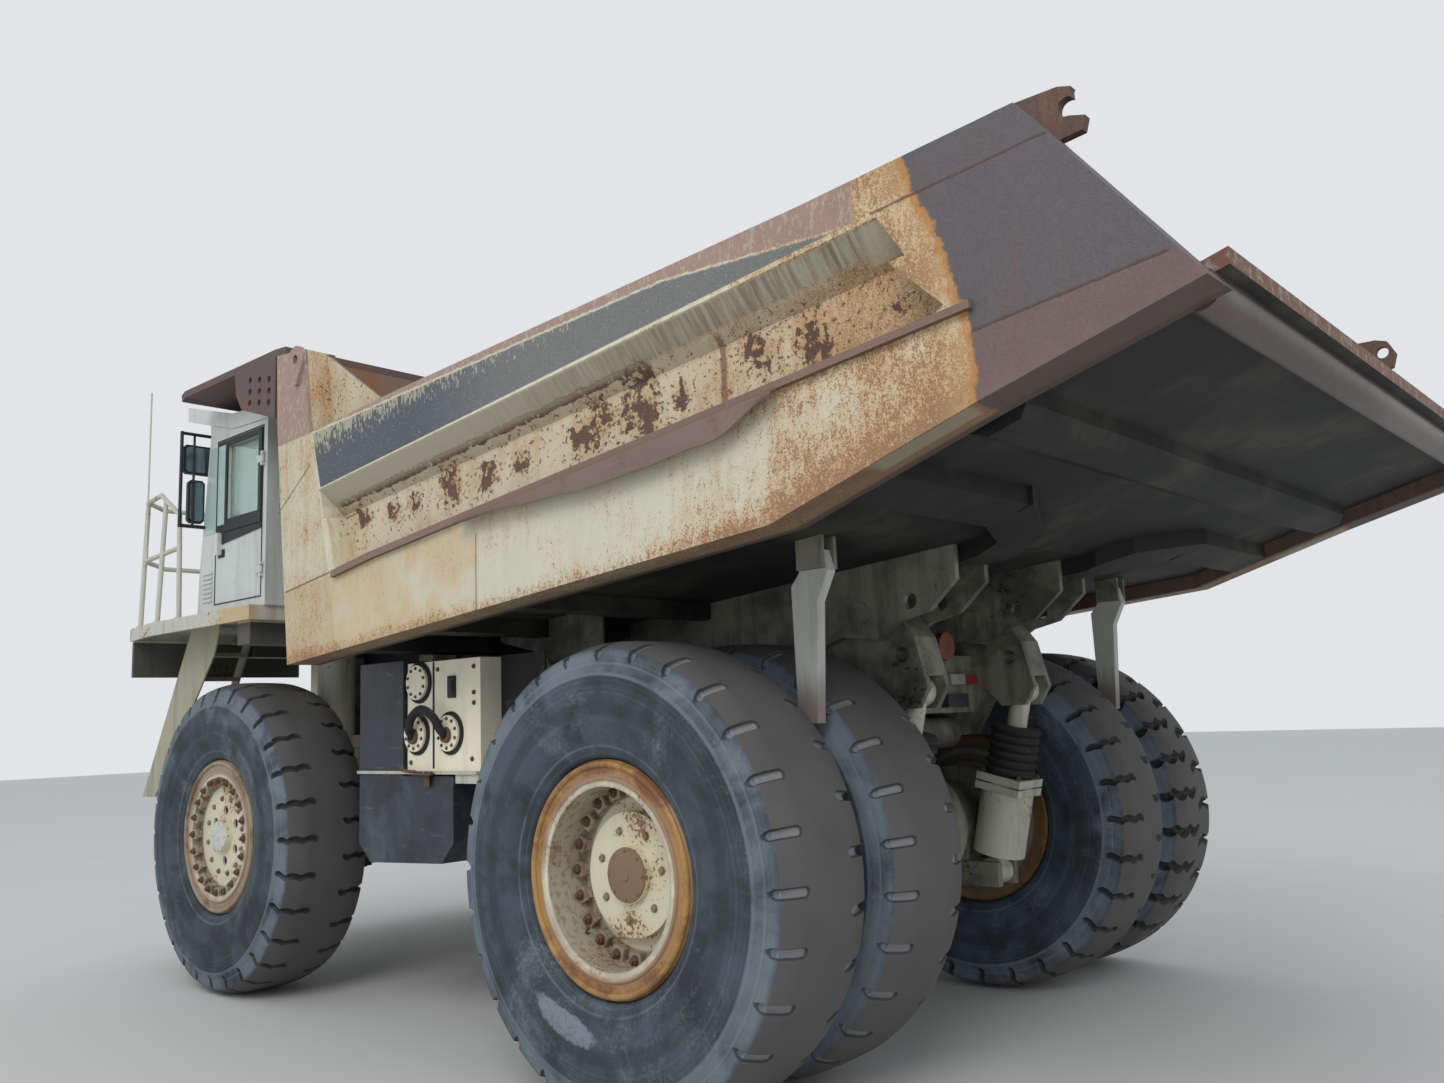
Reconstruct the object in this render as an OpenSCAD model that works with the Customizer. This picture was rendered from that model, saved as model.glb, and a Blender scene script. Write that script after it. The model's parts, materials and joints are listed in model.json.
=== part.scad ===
// Rigid dump truck for quarries: two axles, twin rear tyres, a tipping body with a rising tail.
// Lengths are millimetres. +X is forward, +Y is left, +Z is up, and the ground is at z = 0.
// Sub-parts are drawn with the rear axle at x = 0 and then moved by rear_axle_x.

/* [Overall] */
// Reach of the tail lip behind the rear axle
rear_overhang = 2930; // [2900:10:2960]
// Distance between the two axles
wheelbase = 4320; // [4280:5:4360]
// Reach of the bumper ahead of the front axle
front_overhang = 1750; // [1740:5:1800]

/* [Tyres and wheels] */
// Radius of a tyre at its lugs
tyre_r = 1080; // [1040:5:1100]
// Radius of a tyre at the edge of its tread
shoulder_r = 1036; // [1000:4:1050]
// Half of the tread's width
tread_half_w = 285; // [260:5:300]
// Half of a tyre's widest section
tyre_half_w = 327; // [310:1:340]
// Radius of the rim's bead seat
bead_r = 444.5; // [430:0.5:455]
// Radius of the rim's flanges
flange_r = 533; // [520:1:545]
// Thickness of a rim's flange
flange_t = 30; // [20:1:40]
// Wall of a rim's band
rim_wall = 36; // [24:2:44]
// Distance of a front tyre's middle from the centre line
front_tyre_y = 1790; // [1780:5:1810]
// Distance of an outer rear tyre's middle from the centre line
rear_tyre_y = 2010; // [2000:5:2020]
// Distance between the middles of two twin tyres
dual_spacing = 800; // [790:5:820]
// Clearance between a shaft and its bore, on the radius
run_gap = 0.1; // [0.05:0.01:0.1]

/* [Frame] */
// Distance of a frame rail's inner face from the centre line
rail_in_y = 470; // [460:5:480]
// Width of a frame rail
rail_w = 220; // [200:5:230]
// Height of the frame's top above the ground, behind the engine
rail_top_z = 2010; // [1990:5:2020]
// Radius of the body's pivot pin
pivot_pin_r = 60; // [50:1:70]
// Pivot of the body behind the rear axle
pivot_back = 400; // [380:5:420]
// Height of the body's pivot
pivot_z = 2310; // [2300:5:2320]

/* [Steering] */
// Distance of a king pin from the centre line
kingpin_y = 1150; // [1140:5:1160]
// Radius of a front suspension cylinder
strut_r = 140; // [130:2:150]
// Radius of the strut's rod, which turns with the wheel
strut_rod_r = 100; // [90:2:110]
// Radius of a wheel spindle
spindle_r = 110; // [100:2:120]
// Length of the tie rod's arms behind the king pins
tie_arm = 420; // [400:5:440]
// Length of the steering cylinders' arms ahead of the king pins
ram_arm = 230; // [220:5:240]
// Length of a steering cylinder between its pins, wheels straight
ram_len = 585; // [575:5:595]

/* [Hoist] */
// Distance of a hoist cylinder from the centre line
hoist_y = 300; // [290:5:310]
// Radius of a hoist cylinder's barrel
hoist_r = 110; // [100:2:115]

/* [Dump body] */
// Distance of the body's flush side faces from the centre line
side_y = 2390; // [2370:5:2400]
// Thickness of the side walls, from their flush faces to the load
side_wall_t = 220; // [200:5:240]
// Depth of the recess in each side
recess_d = 145; // [120:5:155]
// How far the deflector strips stand out
strip_out = 30; // [20:5:40]
// Thickness of the floor
floor_t = 60; // [40:5:70]
// Height of the floor's underside over the bottom edge of the sides
floor_up = 90; // [80:5:110]

/* [Antenna] */
// Height of the antenna's tip
antenna_top_z = 4600; // [4500:10:4700]

/* [Towing] */
// Radius of the holes in the front tow lugs
tow_hole_r = 38; // [30:1:42]

/* [Cab and deck] */
// Height of the deck's surface
deck_z = 2660; // [2640:5:2680]
// Distance of the deck's edges from the centre line
deck_half_w = 2220; // [2200:5:2240]
// Distance of the cab's left wall from the centre line
cab_out_y = 2120; // [2100:5:2140]
// Distance of the cab's right wall from the centre line
cab_in_y = 900; // [880:5:950]
// Thickness of the cab's walls
cab_wall = 55; // [45:5:65]
// Running gap around a moving panel
door_gap = 6; // [5:1:8]

/* [Hidden] */
$fn = 64;
eps = 1;
seat = 0.3;

overall_len = rear_overhang + wheelbase + front_overhang;
rear_axle_x = rear_overhang - overall_len / 2;
nose_x = wheelbase + front_overhang;
load_half_w = side_y - side_wall_t;
inner_tyre_y = rear_tyre_y - dual_spacing;
rail_out_y = rail_in_y + rail_w;
rail_mid_y = rail_in_y + rail_w / 2;
frame_front_x = 5640;

// Shapes that the sub-parts share
module block(x, y, z) {
    translate([x[0], y[0], z[0]]) cube([x[1] - x[0], y[1] - y[0], z[1] - z[0]]);
}

// A plate with an outline in X and Z, between two distances along Y
module plate_y(outline, y) {
    translate([0, y[1], 0]) rotate([90, 0, 0]) linear_extrude(y[1] - y[0]) polygon(outline);
}

// A plate with an outline in Y and Z, between two distances along X
module plate_x(outline, x) {
    translate([x[0], 0, 0]) rotate([90, 0, 90]) linear_extrude(x[1] - x[0]) polygon(outline);
}

module plate_z(outline, z) {
    translate([0, 0, z[0]]) linear_extrude(z[1] - z[0]) polygon(outline);
}

module tube_y(x, z, r, y) {
    translate([x, y[1], z]) rotate([90, 0, 0]) cylinder(r = r, h = y[1] - y[0]);
}

// A round bar from one point to another
module bar(a, b, r) {
    d = b - a;
    length = norm(d);
    translate(a) rotate([0, acos(d[2] / length), atan2(d[1], d[0])]) cylinder(r = r, h = length);
}

// A square bar from one point to another, in a plane of constant y
module beam_xz(a, b, w, h) {
    d = b - a;
    length = norm(d);
    translate(a) rotate([0, -atan2(d[2], norm([d[0], d[1]])), 0]) rotate([0, 0, atan2(d[1], d[0])])
        translate([0, -w / 2, -h / 2]) cube([length, w, h]);
}

module both_sides() {
    children();
    mirror([0, 1, 0]) children();
}

module right_side() {
    mirror([0, 1, 0]) children();
}

// Turns a profile of radius and distance along Y about the wheel's own axis
module wheel_turn(profile) {
    rotate([-90, 0, 0]) rotate_extrude($fn = 96) polygon(profile);
}

module wheel_centre() {
    translate([0, 0, tyre_r]) children();
}

// Tyres and wheels
tyre_bead_half_w = 237;
tyre_crown_half_w = 150;
tyre_profile = [[bead_r, -tyre_bead_half_w], [flange_r, -tyre_bead_half_w], [flange_r + 7, -tyre_bead_half_w - 35],
    [640, -305], [760, -tyre_half_w], [900, -tyre_half_w + 8], [shoulder_r, -tread_half_w],
    [tyre_r, -tyre_crown_half_w], [tyre_r, tyre_crown_half_w], [shoulder_r, tread_half_w], [900, tyre_half_w - 8],
    [760, tyre_half_w], [640, 305], [flange_r + 7, tyre_bead_half_w + 35], [flange_r, tyre_bead_half_w],
    [bead_r, tyre_bead_half_w]];

module tyre(y) {
    translate([0, y, tyre_r]) wheel_turn(tyre_profile);
}

// A rim's band with its two flanges, round a tyre whose middle is at y
module rim_band(y) {
    f = tyre_bead_half_w;
    translate([0, y, tyre_r]) wheel_turn([[bead_r - rim_wall, -f - flange_t], [flange_r - 12, -f - flange_t],
        [flange_r, -f - flange_t + 12], [flange_r, -f], [bead_r, -f], [bead_r, f], [flange_r, f],
        [flange_r, f + flange_t - 12], [flange_r - 12, f + flange_t], [bead_r - rim_wall, f + flange_t]]);
}

wedge_r = 400;
wedge_count = 20;
front_face_y = 2005;
front_hub_in_y = 1600;
rear_face_y = 2060;
rear_hub_in_y = 930;
axle_spindle_r = 160;

// Clamps that hold a rim on its hub, in a ring
module wedges(y, length) {
    for (i = [0:wedge_count - 1])
        translate([0, y, tyre_r]) rotate([0, i * 360 / wedge_count, 0])
            translate([wedge_r - 42, -5, -24]) cube([70, length, 48]);
}

module front_tyre() {
    color([0.26, 0.28, 0.31]) translate([wheelbase, 0, 0]) tyre(front_tyre_y);
}

module front_wheel() {
    hole_circle_r = 175;
    color([0.78, 0.74, 0.62]) translate([wheelbase, 0, 0]) {
        rim_band(front_tyre_y);
        difference() {
            union() {
                tube_y(0, tyre_r, bead_r - rim_wall + eps, [front_face_y - 90, front_face_y]);
                tube_y(0, tyre_r, 300, [front_hub_in_y, front_face_y]);
                tube_y(0, tyre_r, 112, [front_face_y - eps, front_face_y + 42]);
                wedges(front_face_y, 40);
            }
            tube_y(0, tyre_r, spindle_r + run_gap, [front_hub_in_y - eps, front_face_y - 60]);
            for (i = [0:5])
                translate([0, 0, tyre_r]) rotate([0, i * 60 + 30, 0])
                    tube_y(hole_circle_r, 0, 34, [front_face_y - 40, front_face_y + eps]);
        }
    }
}

module rear_tyres() {
    color([0.26, 0.28, 0.31]) {
        tyre(rear_tyre_y);
        tyre(inner_tyre_y);
    }
}

module rear_wheel() {
    color([0.78, 0.74, 0.62]) {
        rim_band(rear_tyre_y);
        rim_band(inner_tyre_y);
        difference() {
            union() {
                tube_y(0, tyre_r, bead_r - rim_wall + eps, [rear_hub_in_y, rear_face_y]);
                tube_y(0, tyre_r, 285, [rear_face_y - eps, rear_face_y + 60]);
                tube_y(0, tyre_r, 130, [rear_face_y, rear_face_y + 88]);
                wedges(rear_face_y, 36);
            }
            tube_y(0, tyre_r, axle_spindle_r + run_gap, [rear_hub_in_y - eps, rear_face_y - 100]);
        }
    }
}

// Steering
knuckle_r = 150;
knuckle_z = [780, 1400];
strut_z = [1425, 2380];
tie_arm_z = [900, 980];
tie_rod_z = 845;
ram_z = 1010;
ram_angle = 73;
king = [wheelbase, kingpin_y];
// Where the knuckle's round flange starts outside the king pin, clear of the steering cylinder's eye
ram_flange_gap = 120;
ram_eye = [king[0] + ram_arm, king[1]];
ram_base = [ram_eye[0] - ram_len * cos(ram_angle), ram_eye[1] - ram_len * sin(ram_angle)];

module knuckle() {
    color([0.70, 0.67, 0.58]) {
        translate([king[0], king[1], knuckle_z[0]]) cylinder(r = knuckle_r, h = knuckle_z[1] - knuckle_z[0]);
        translate([king[0], king[1], knuckle_z[1] - eps]) cylinder(r = strut_rod_r, h = 320);
        translate([king[0], 0, 0]) {
            tube_y(0, tyre_r, spindle_r, [kingpin_y, front_face_y - 70]);
            tube_y(0, tyre_r, 190, [kingpin_y + ram_flange_gap, front_hub_in_y - 130]);
            tube_y(0, tyre_r, 330, [front_hub_in_y - 130, front_hub_in_y - 10]);
        }
        block([king[0] - tie_arm, king[0]], [king[1] - 45, king[1] + 45], tie_arm_z);
        translate([king[0] - tie_arm, king[1], tie_arm_z[0]]) cylinder(r = 62, h = 80);
        translate([king[0] - tie_arm, king[1], tie_rod_z - 55]) cylinder(r = 22, h = tie_arm_z[0] - tie_rod_z + 56);
        block([king[0], ram_eye[0]], [king[1] - 45, king[1] + 45], tie_arm_z);
        translate([ram_eye[0], ram_eye[1], tie_arm_z[0]]) cylinder(r = 62, h = 80);
    }
}

module tie_rod() {
    tie_x = king[0] - tie_arm;
    color([0.35, 0.34, 0.32]) difference() {
        union() {
            tube_y(tie_x, tie_rod_z, 36, [-kingpin_y, kingpin_y]);
            for (y = [-kingpin_y, kingpin_y])
                translate([tie_x, y, tie_rod_z - 45]) cylinder(r = 55, h = 90);
        }
        for (y = [-kingpin_y, kingpin_y])
            translate([tie_x, y, tie_rod_z - 60]) cylinder(r = 22 + run_gap, h = 120);
    }
}

// A steering cylinder lies along its own X axis with its base pin at the origin
ram_pin_r = 24;
// Travel of the rod each way from its middle place, as the wheels steer
ram_travel = 132;
ram_bore_x = 60;
ram_rod_x = ram_bore_x + ram_travel + 10;
ram_barrel_len = ram_rod_x + ram_travel + 35;

module ram_frame() {
    translate([ram_base[0], ram_base[1], ram_z + 30]) rotate([0, 0, ram_angle]) children();
}

module ram_barrel() {
    color([0.72, 0.68, 0.58]) ram_frame() difference() {
        union() {
            rotate([0, 90, 0]) cylinder(r = 55, h = ram_barrel_len);
            translate([0, 0, -45]) cylinder(r = 60, h = 90);
        }
        translate([ram_bore_x, 0, 0]) rotate([0, 90, 0]) cylinder(r = 28 + run_gap, h = ram_barrel_len);
        translate([0, 0, -60]) cylinder(r = ram_pin_r + run_gap, h = 120);
    }
}

module ram_rod() {
    color([0.60, 0.60, 0.60]) ram_frame() {
        translate([ram_rod_x, 0, 0]) rotate([0, 90, 0]) cylinder(r = 28, h = ram_len - ram_rod_x);
        translate([ram_len, 0, -59]) cylinder(r = 30, h = 60);
        translate([ram_len, 0, -42]) cylinder(r = 58, h = 84);
    }
}

module front_struts() {
    color([0.74, 0.71, 0.60]) both_sides() {
        difference() {
            union() {
                translate([king[0], king[1], strut_z[0]]) cylinder(r = strut_r, h = strut_z[1] - strut_z[0]);
                block([king[0] - 120, king[0] + 120], [rail_out_y, king[1]], [1450, 1560]);
                block([king[0] - 120, king[0] + 120], [rail_out_y, king[1]], [1660, 1750]);
            }
            translate([king[0], king[1], strut_z[0] - eps]) cylinder(r = strut_rod_r + run_gap, h = 310);
        }
    }
}

// Frame
arm_nose = [1590, 0, tyre_r - 180];
nose_pin_r = 30;
front_frame_z = [1250, 1750];
rail_low_z = 1500;
rail_outline = [[120, 1620], [420, rail_low_z], [560, rail_low_z], [620, 1110], [780, 1110], [900, rail_low_z],
    [3050, rail_low_z],
    [3350, front_frame_z[0]], [frame_front_x, front_frame_z[0]],
    [frame_front_x, front_frame_z[1]], [3500, front_frame_z[1]],
    [3150, rail_top_z], [60, rail_top_z], [-pivot_back + 120, pivot_z + 90], [-pivot_back - 110, pivot_z + 90],
    [-690, 2170], [-760, 1900], [-690, 1790], [-540, 1790], [-430, 1900], [-250, 1620]];
hoist_pin = [700, 0, 1200];
nose_low = arm_nose[2] - 110;
prop_hole = [-609, 2078];
oleo_top = [-620, 1880];
oleo_low = [-360, 800];
oleo_y = rail_mid_y;
oleo_pin_r = 40;
pin_fit = 1;
cross_x = [-150, 1760, 3050, 5450];

module frame() {
    color([0.71, 0.68, 0.58]) both_sides() {
        difference() {
            union() {
                plate_y(rail_outline, [rail_in_y, rail_out_y]);
                tube_y(-pivot_back, pivot_z, pivot_pin_r, [rail_in_y - 75, rail_out_y + 75]);
                tube_y(hoist_pin[0], hoist_pin[2], 45, [hoist_y - hoist_r - 20, rail_in_y + eps]);
                translate([ram_base[0], ram_base[1], ram_z - 20]) cylinder(r = ram_pin_r, h = 260);
                block([ram_base[0] - 70, ram_base[0] + 70], [rail_in_y + 40, rail_out_y], [ram_z + 100, 1260]);
                block([3700, 3880], [rail_in_y, rail_out_y], [1740, 2400]);
                block([5050, 5230], [rail_in_y, rail_out_y], [1740, 2400]);
            }
            tube_y(prop_hole[0], prop_hole[1], 42, [rail_in_y - eps, rail_out_y + eps]);
            block([-900, -500], [oleo_y - 70, oleo_y + 70], [1700, 1960]);
        }
        tube_y(oleo_top[0], oleo_top[1], oleo_pin_r, [rail_in_y, rail_out_y]);
    }
}

// Cross tubes between the rails, the socket plate for the axle's arm and the plate behind
cross_z = 1640;
cross_r = 95;
socket_x = [1700, 1820];
socket_gap = 0.3;

module cross_members() {
    y = [-rail_in_y, rail_in_y];
    color([0.66, 0.63, 0.54]) {
        for (x = cross_x)
            tube_y(x, cross_z, cross_r, y);
        difference() {
            union() {
                block(socket_x, y, [nose_low, cross_z]);
                both_sides() block(socket_x, [rail_in_y - eps, rail_in_y + 40], [nose_low, rail_low_z]);
                block([arm_nose[0] - 60, socket_x[0] + eps], [-60, 60], [nose_low, arm_nose[2] - 80 - socket_gap]);
                block([arm_nose[0] - 60, socket_x[0] + eps], [-60, 60], [arm_nose[2] + 80 + socket_gap, arm_nose[2] + 110]);
                translate([arm_nose[0], 0, nose_low]) cylinder(r = nose_pin_r, h = 220);
            }
            translate([arm_nose[0] + 10, 0, tyre_r]) rotate([0, 90, 0]) cylinder(r = 115, h = 400);
        }
        block(tail_plate_x, y, tail_plate_z);
    }
}

// Rear axle with its arm that runs forward to the frame
module rear_axle() {
    color([0.60, 0.57, 0.48]) difference() {
        axle_solid();
        translate([arm_nose[0], 0, arm_nose[2] - 100]) cylinder(r = nose_pin_r + pin_fit, h = 200);
    }
}

module axle_solid() {
    union() {
        translate([arm_nose[0], 0, arm_nose[2] - 80]) cylinder(r = 90, h = 160);
        wheel_centre() wheel_turn([[0, -rear_face_y + 110], [axle_spindle_r, -rear_face_y + 110],
            [axle_spindle_r, -900], [340, -900], [340, -755], [250, -735], [250, -420], [330, -330], [400, -180],
            [420, 0], [400, 180], [330, 330], [250, 420], [250, 735], [340, 755], [340, 900], [axle_spindle_r, 900],
            [axle_spindle_r, rear_face_y - 110], [0, rear_face_y - 110]]);
        both_sides() {
            for (y = [oleo_y - 120, oleo_y + 72]) {
                block([-440, -90], [y, y + 48], [720, 862]);
                block([-230, -90], [y, y + 48], [861, 1180]);
            }
            tube_y(oleo_low[0], oleo_low[1], oleo_pin_r, [oleo_y - 120, oleo_y + 120]);
            beam_xz([40, 480, arm_nose[2]], arm_nose, 110, 130);
        }
        translate([380, 0, tyre_r]) rotate([0, 90, 0]) cylinder(r = 140, h = 120);
    }
}

// Rear suspension cylinders: barrel, clamp flange and an eye at each end
oleo_lean = atan2(oleo_low[0] - oleo_top[0], oleo_top[1] - oleo_low[1]);
oleo_len = norm([oleo_top[0] - oleo_low[0], oleo_top[1] - oleo_low[1]]);
oleo_core_r = 60;
oleo_flange_z = [490, 590];
bellows_h = 300;
bellows_folds = 6;
bellows_r = [132, 150];

module oleo_frame() {
    both_sides() translate([oleo_low[0], oleo_y, oleo_low[1]]) rotate([0, -oleo_lean, 0]) children();
}

module rear_oleos() {
    color([0.80, 0.77, 0.66]) oleo_frame() difference() {
        union() {
            translate([0, 0, 112]) cylinder(r = 155, h = oleo_flange_z[0] - 112);
            translate([-145, -145, oleo_flange_z[0] - eps]) cube([290, 290, 44]);
            translate([-145, -145, oleo_flange_z[0] + 53]) cube([290, 290, 46]);
            translate([0, 0, oleo_flange_z[0] + 20]) cylinder(r = 138, h = 60);
            cylinder(r = oleo_core_r, h = oleo_len);
            rotate([90, 0, 0]) translate([0, 0, -65]) cylinder(r = 80, h = 130);
            translate([0, 65, oleo_len]) rotate([90, 0, 0]) cylinder(r = 80, h = 130);
        }
        rotate([90, 0, 0]) translate([0, 0, -80]) cylinder(r = oleo_pin_r + pin_fit, h = 160);
        translate([0, 80, oleo_len]) rotate([90, 0, 0]) cylinder(r = oleo_pin_r + pin_fit, h = 160);
    }
}

// Folded rubber sleeves round the rear suspension cylinders
module rear_bellows() {
    fold = bellows_h / bellows_folds;
    low = oleo_flange_z[1] + seat;
    color([0.09, 0.09, 0.10]) oleo_frame() rotate_extrude()
        polygon(concat([[oleo_core_r + seat, low]],
            [for (i = [0:bellows_folds - 1]) each [[bellows_r[0], low + i * fold], [bellows_r[1], low + (i + 0.35) * fold],
                [bellows_r[1], low + (i + 0.65) * fold]]],
            [[bellows_r[0], low + bellows_h], [oleo_core_r + seat, low + bellows_h]]));
}

// Hoist cylinders, drawn along their own Z axis from the base pin
hoist_top = [1100, 0, 2250];
hoist_len = norm(hoist_top - hoist_pin);
hoist_lean = atan2(hoist_top[0] - hoist_pin[0], hoist_top[2] - hoist_pin[2]);
hoist_stage_r = 86;
hoist_rod_r = 60;

module hoist_frame() {
    both_sides() translate([hoist_pin[0], hoist_y, hoist_pin[2]]) rotate([0, hoist_lean, 0]) children();
}

module hoist_barrels() {
    color([0.70, 0.67, 0.57]) hoist_frame() difference() {
        union() {
            translate([0, 0, 60]) cylinder(r = hoist_r, h = 900);
            rotate([90, 0, 0]) translate([0, 0, -90]) cylinder(r = 100, h = 180);
        }
        translate([0, 0, 150]) cylinder(r = hoist_stage_r + run_gap, h = 1000);
        rotate([90, 0, 0]) translate([0, 0, -100]) cylinder(r = 45 + run_gap, h = 200);
    }
}

module hoist_stages() {
    color([0.62, 0.62, 0.62]) hoist_frame() difference() {
        translate([0, 0, 180]) cylinder(r = hoist_stage_r, h = 830);
        translate([0, 0, 220]) cylinder(r = hoist_rod_r + run_gap, h = 1000);
    }
}

module hoist_rods() {
    color([0.66, 0.66, 0.66]) hoist_frame() {
        translate([0, 0, 260]) cylinder(r = hoist_rod_r, h = hoist_len - 260);
        translate([0, 0, hoist_len]) rotate([90, 0, 0]) {
            translate([0, 0, -70]) cylinder(r = 80, h = 140);
            translate([0, 0, -79]) cylinder(r = 40, h = 158);
        }
    }
}

// Power units and the pieces on the frame
module engine_block() {
    color([0.30, 0.30, 0.30]) block([3560, 5200], [-420, 420], [1300, 2450]);
}

module driveline() {
    color([0.33, 0.33, 0.33]) {
        block([1900, 2900], [-330, 330], [980, 1560]);
        block([2100, 2300], [-rail_in_y, rail_in_y], [1450, 1559]);
        bar([500, 0, tyre_r], [1901, 0, tyre_r], 50);
        bar([2899, 0, 1420], [3560, 0, 1420], 62);
    }
}

module radiator_grille() {
    color([0.72, 0.69, 0.60]) {
        difference() {
            block([5460, frame_front_x], [-640, 640], [front_frame_z[1], deck_z - 40]);
            block([5560, 5660], [-580, 580], [1820, 2490]);
        }
        for (i = [0:8])
            block([5559, 5630], [-530 + i * 130, -510 + i * 130], [1819, 2491]);
    }
}

bumper_d = 280;
bumper_half_w = 1760;
bumper_z = [820, 1320];
tow_y = 450;
tow_t = 50;
tow_x = nose_x - 90;
tow_z = bumper_z[0] - 70;

module bumper() {
    color([0.68, 0.65, 0.56]) {
        block([nose_x - bumper_d, nose_x], [-bumper_half_w, bumper_half_w], bumper_z);
        both_sides() {
            block([frame_front_x, nose_x - bumper_d + eps], [rail_in_y, rail_out_y], [1000, bumper_z[1]]);
            difference() {
                block([nose_x - 150, nose_x - 30], [tow_y, tow_y + tow_t], [bumper_z[0] - 135, bumper_z[0] + eps]);
                tube_y(tow_x, tow_z, tow_hole_r, [tow_y - eps, tow_y + tow_t + eps]);
            }
        }
    }
}

module hood() {
    color([0.82, 0.80, 0.72]) difference() {
        plate_y([[3420, deck_z], [5600, deck_z], [5560, 2900], [5450, 2960], [3420, 3020]], [-700, 700]);
        plate_y([[3450, deck_z - eps], [5570, deck_z - eps], [5530, 2880], [5430, 2930], [3450, 2990]], [-670, 670]);
    }
}

// Stairs
stair_y = [deck_half_w - 740, deck_half_w - 280];
stair_count = 6;
stair_low = [nose_x - 265, bumper_z[1]];
stair_high = [wheelbase + tyre_r - 413, deck_z - 40];
stair_tread = [110, 30];
stringer_t = 12;

// Deck
deck_front_x = 5800;
deck_back_x = 3600;
deck_taper_x = 5200;
deck_taper_y = 90;
deck_rim = 25;

// The deck's outline, drawn in from its edges by a margin
function deck_points(m) = [[deck_back_x + m, m - deck_half_w], [deck_taper_x, m - deck_half_w],
    [deck_front_x - m, m - deck_half_w + deck_taper_y], [deck_front_x - m, deck_half_w - deck_taper_y - m],
    [deck_taper_x, deck_half_w - m], [deck_back_x + m, deck_half_w - m]];
deck_outline = deck_points(0);
deck_inner = deck_points(deck_rim);

module deck() {
    color([0.80, 0.77, 0.68]) {
        plate_z(deck_outline, [deck_z - 40, deck_z]);
        difference() {
            plate_z(deck_outline, [deck_z - 100, deck_z - 39]);
            plate_z(deck_inner, [deck_z - 101, deck_z]);
        }
        both_sides() {
            block([3700, 3880], [rail_in_y, deck_half_w - 60], [2400, deck_z - 39]);
            block([5050, 5230], [rail_in_y, stair_y[0] - 20], [2400, deck_z - 39]);
            block([deck_front_x - 60, deck_front_x - 30], [700, deck_half_w - deck_taper_y - 10], [2270, 2561]);
        }
    }
}

// Cab
cab_x = [3580, 4610];
cab_top_z = 3970;
cab_floor_z = deck_z + 50;
cab_brow_x = 4450;
// Where the roof starts to rise more steeply, and the lower corner of its front edge
roof_knee = [4100, cab_top_z + 25];
roof_tip = [4834, cab_top_z + 218];
roof_t = 105;

// Height of the roof's underside
function roof_under(x) = x < roof_knee[0] ? cab_top_z + (x - cab_x[0]) * 25 / (roof_knee[0] - cab_x[0])
    : roof_knee[1] + (x - roof_knee[0]) * (roof_tip[1] - roof_knee[1]) / (roof_tip[0] - roof_knee[0]);

cab_outline = [[cab_x[0], deck_z], [cab_x[1], deck_z], [cab_x[1] - 10, 2900], [cab_brow_x, roof_under(cab_brow_x)],
    roof_knee, [cab_x[0], cab_top_z]];
cab_inner = [[cab_x[0] + cab_wall, deck_z + 50], [cab_x[1] - cab_wall, deck_z + 50], [cab_x[1] - cab_wall - 10, 2900],
    [cab_brow_x - cab_wall, roof_under(cab_brow_x) + eps], [roof_knee[0], roof_knee[1] + eps],
    [cab_x[0] + cab_wall, cab_top_z + 3 * eps]];
windscreen_z = [3050, 3960];
door_x = [3640, 4330];
door_z = [2730, 3930];
door_win_x = [3690, 4170];
door_win_z = [3330, 3880];
win_margin = 90;
hinge_z = [2860, 3640];

hinge = [3622, cab_out_y + 14];
hinge_pin_r = 8;

// A door hinge's fixed half: two lugs and the pin
module hinge_fixed(z) {
    for (h = [z, z + 80])
        block([hinge[0] - 22, hinge[0] + 10], [cab_out_y - eps, hinge[1] + 12], [h, h + 20]);
    translate([hinge[0], hinge[1], z]) cylinder(r = hinge_pin_r, h = 100);
}

// A door hinge's moving half, with the pin's bore
module hinge_moving(z) {
    difference() {
        union() {
            translate([hinge[0], hinge[1], z + 25]) cylinder(r = 13, h = 50);
            block([hinge[0], door_x[0] + 50], [hinge[1] - 6, hinge[1] + 8], [z + 25, z + 75]);
            block([door_x[0] + 10, door_x[0] + 50], [cab_out_y - eps, hinge[1] + 8], [z + 25, z + 75]);
        }
        translate([hinge[0], hinge[1], z + 20]) cylinder(r = hinge_pin_r + run_gap, h = 60);
    }
}

module cab_shell() {
    color([0.84, 0.84, 0.80]) for (z = hinge_z)
        hinge_fixed(z);
    color([0.84, 0.84, 0.80]) difference() {
        plate_y(cab_outline, [cab_in_y, cab_out_y]);
        plate_y(cab_inner, [cab_in_y + cab_wall, cab_out_y - cab_wall]);
        block([door_x[0] - door_gap, door_x[1] + door_gap], [cab_out_y - cab_wall - eps, cab_out_y + eps],
            [door_z[0] - door_gap, door_z[1] + door_gap]);
        block([4300, 4700], [cab_in_y + win_margin, cab_out_y - win_margin], windscreen_z);
        block([3500, 3700], [cab_in_y + win_margin, cab_out_y - win_margin], [3300, 3880]);
        block([3700, 4330], [cab_in_y - eps, cab_in_y + cab_wall + eps], [3250, 3880]);
    }
}

module cab_roof() {
    color([0.86, 0.86, 0.83]) translate([0, 0, seat]) plate_y([[cab_x[0] - 20, cab_top_z], roof_knee, roof_tip,
        [roof_tip[0] + 8, roof_tip[1] + roof_t + 10], [roof_knee[0], roof_knee[1] + roof_t + 8],
        [cab_x[0] - 20, cab_top_z + roof_t]], [cab_in_y - 20, cab_out_y + 10]);
}

pane_t = 12;

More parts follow.
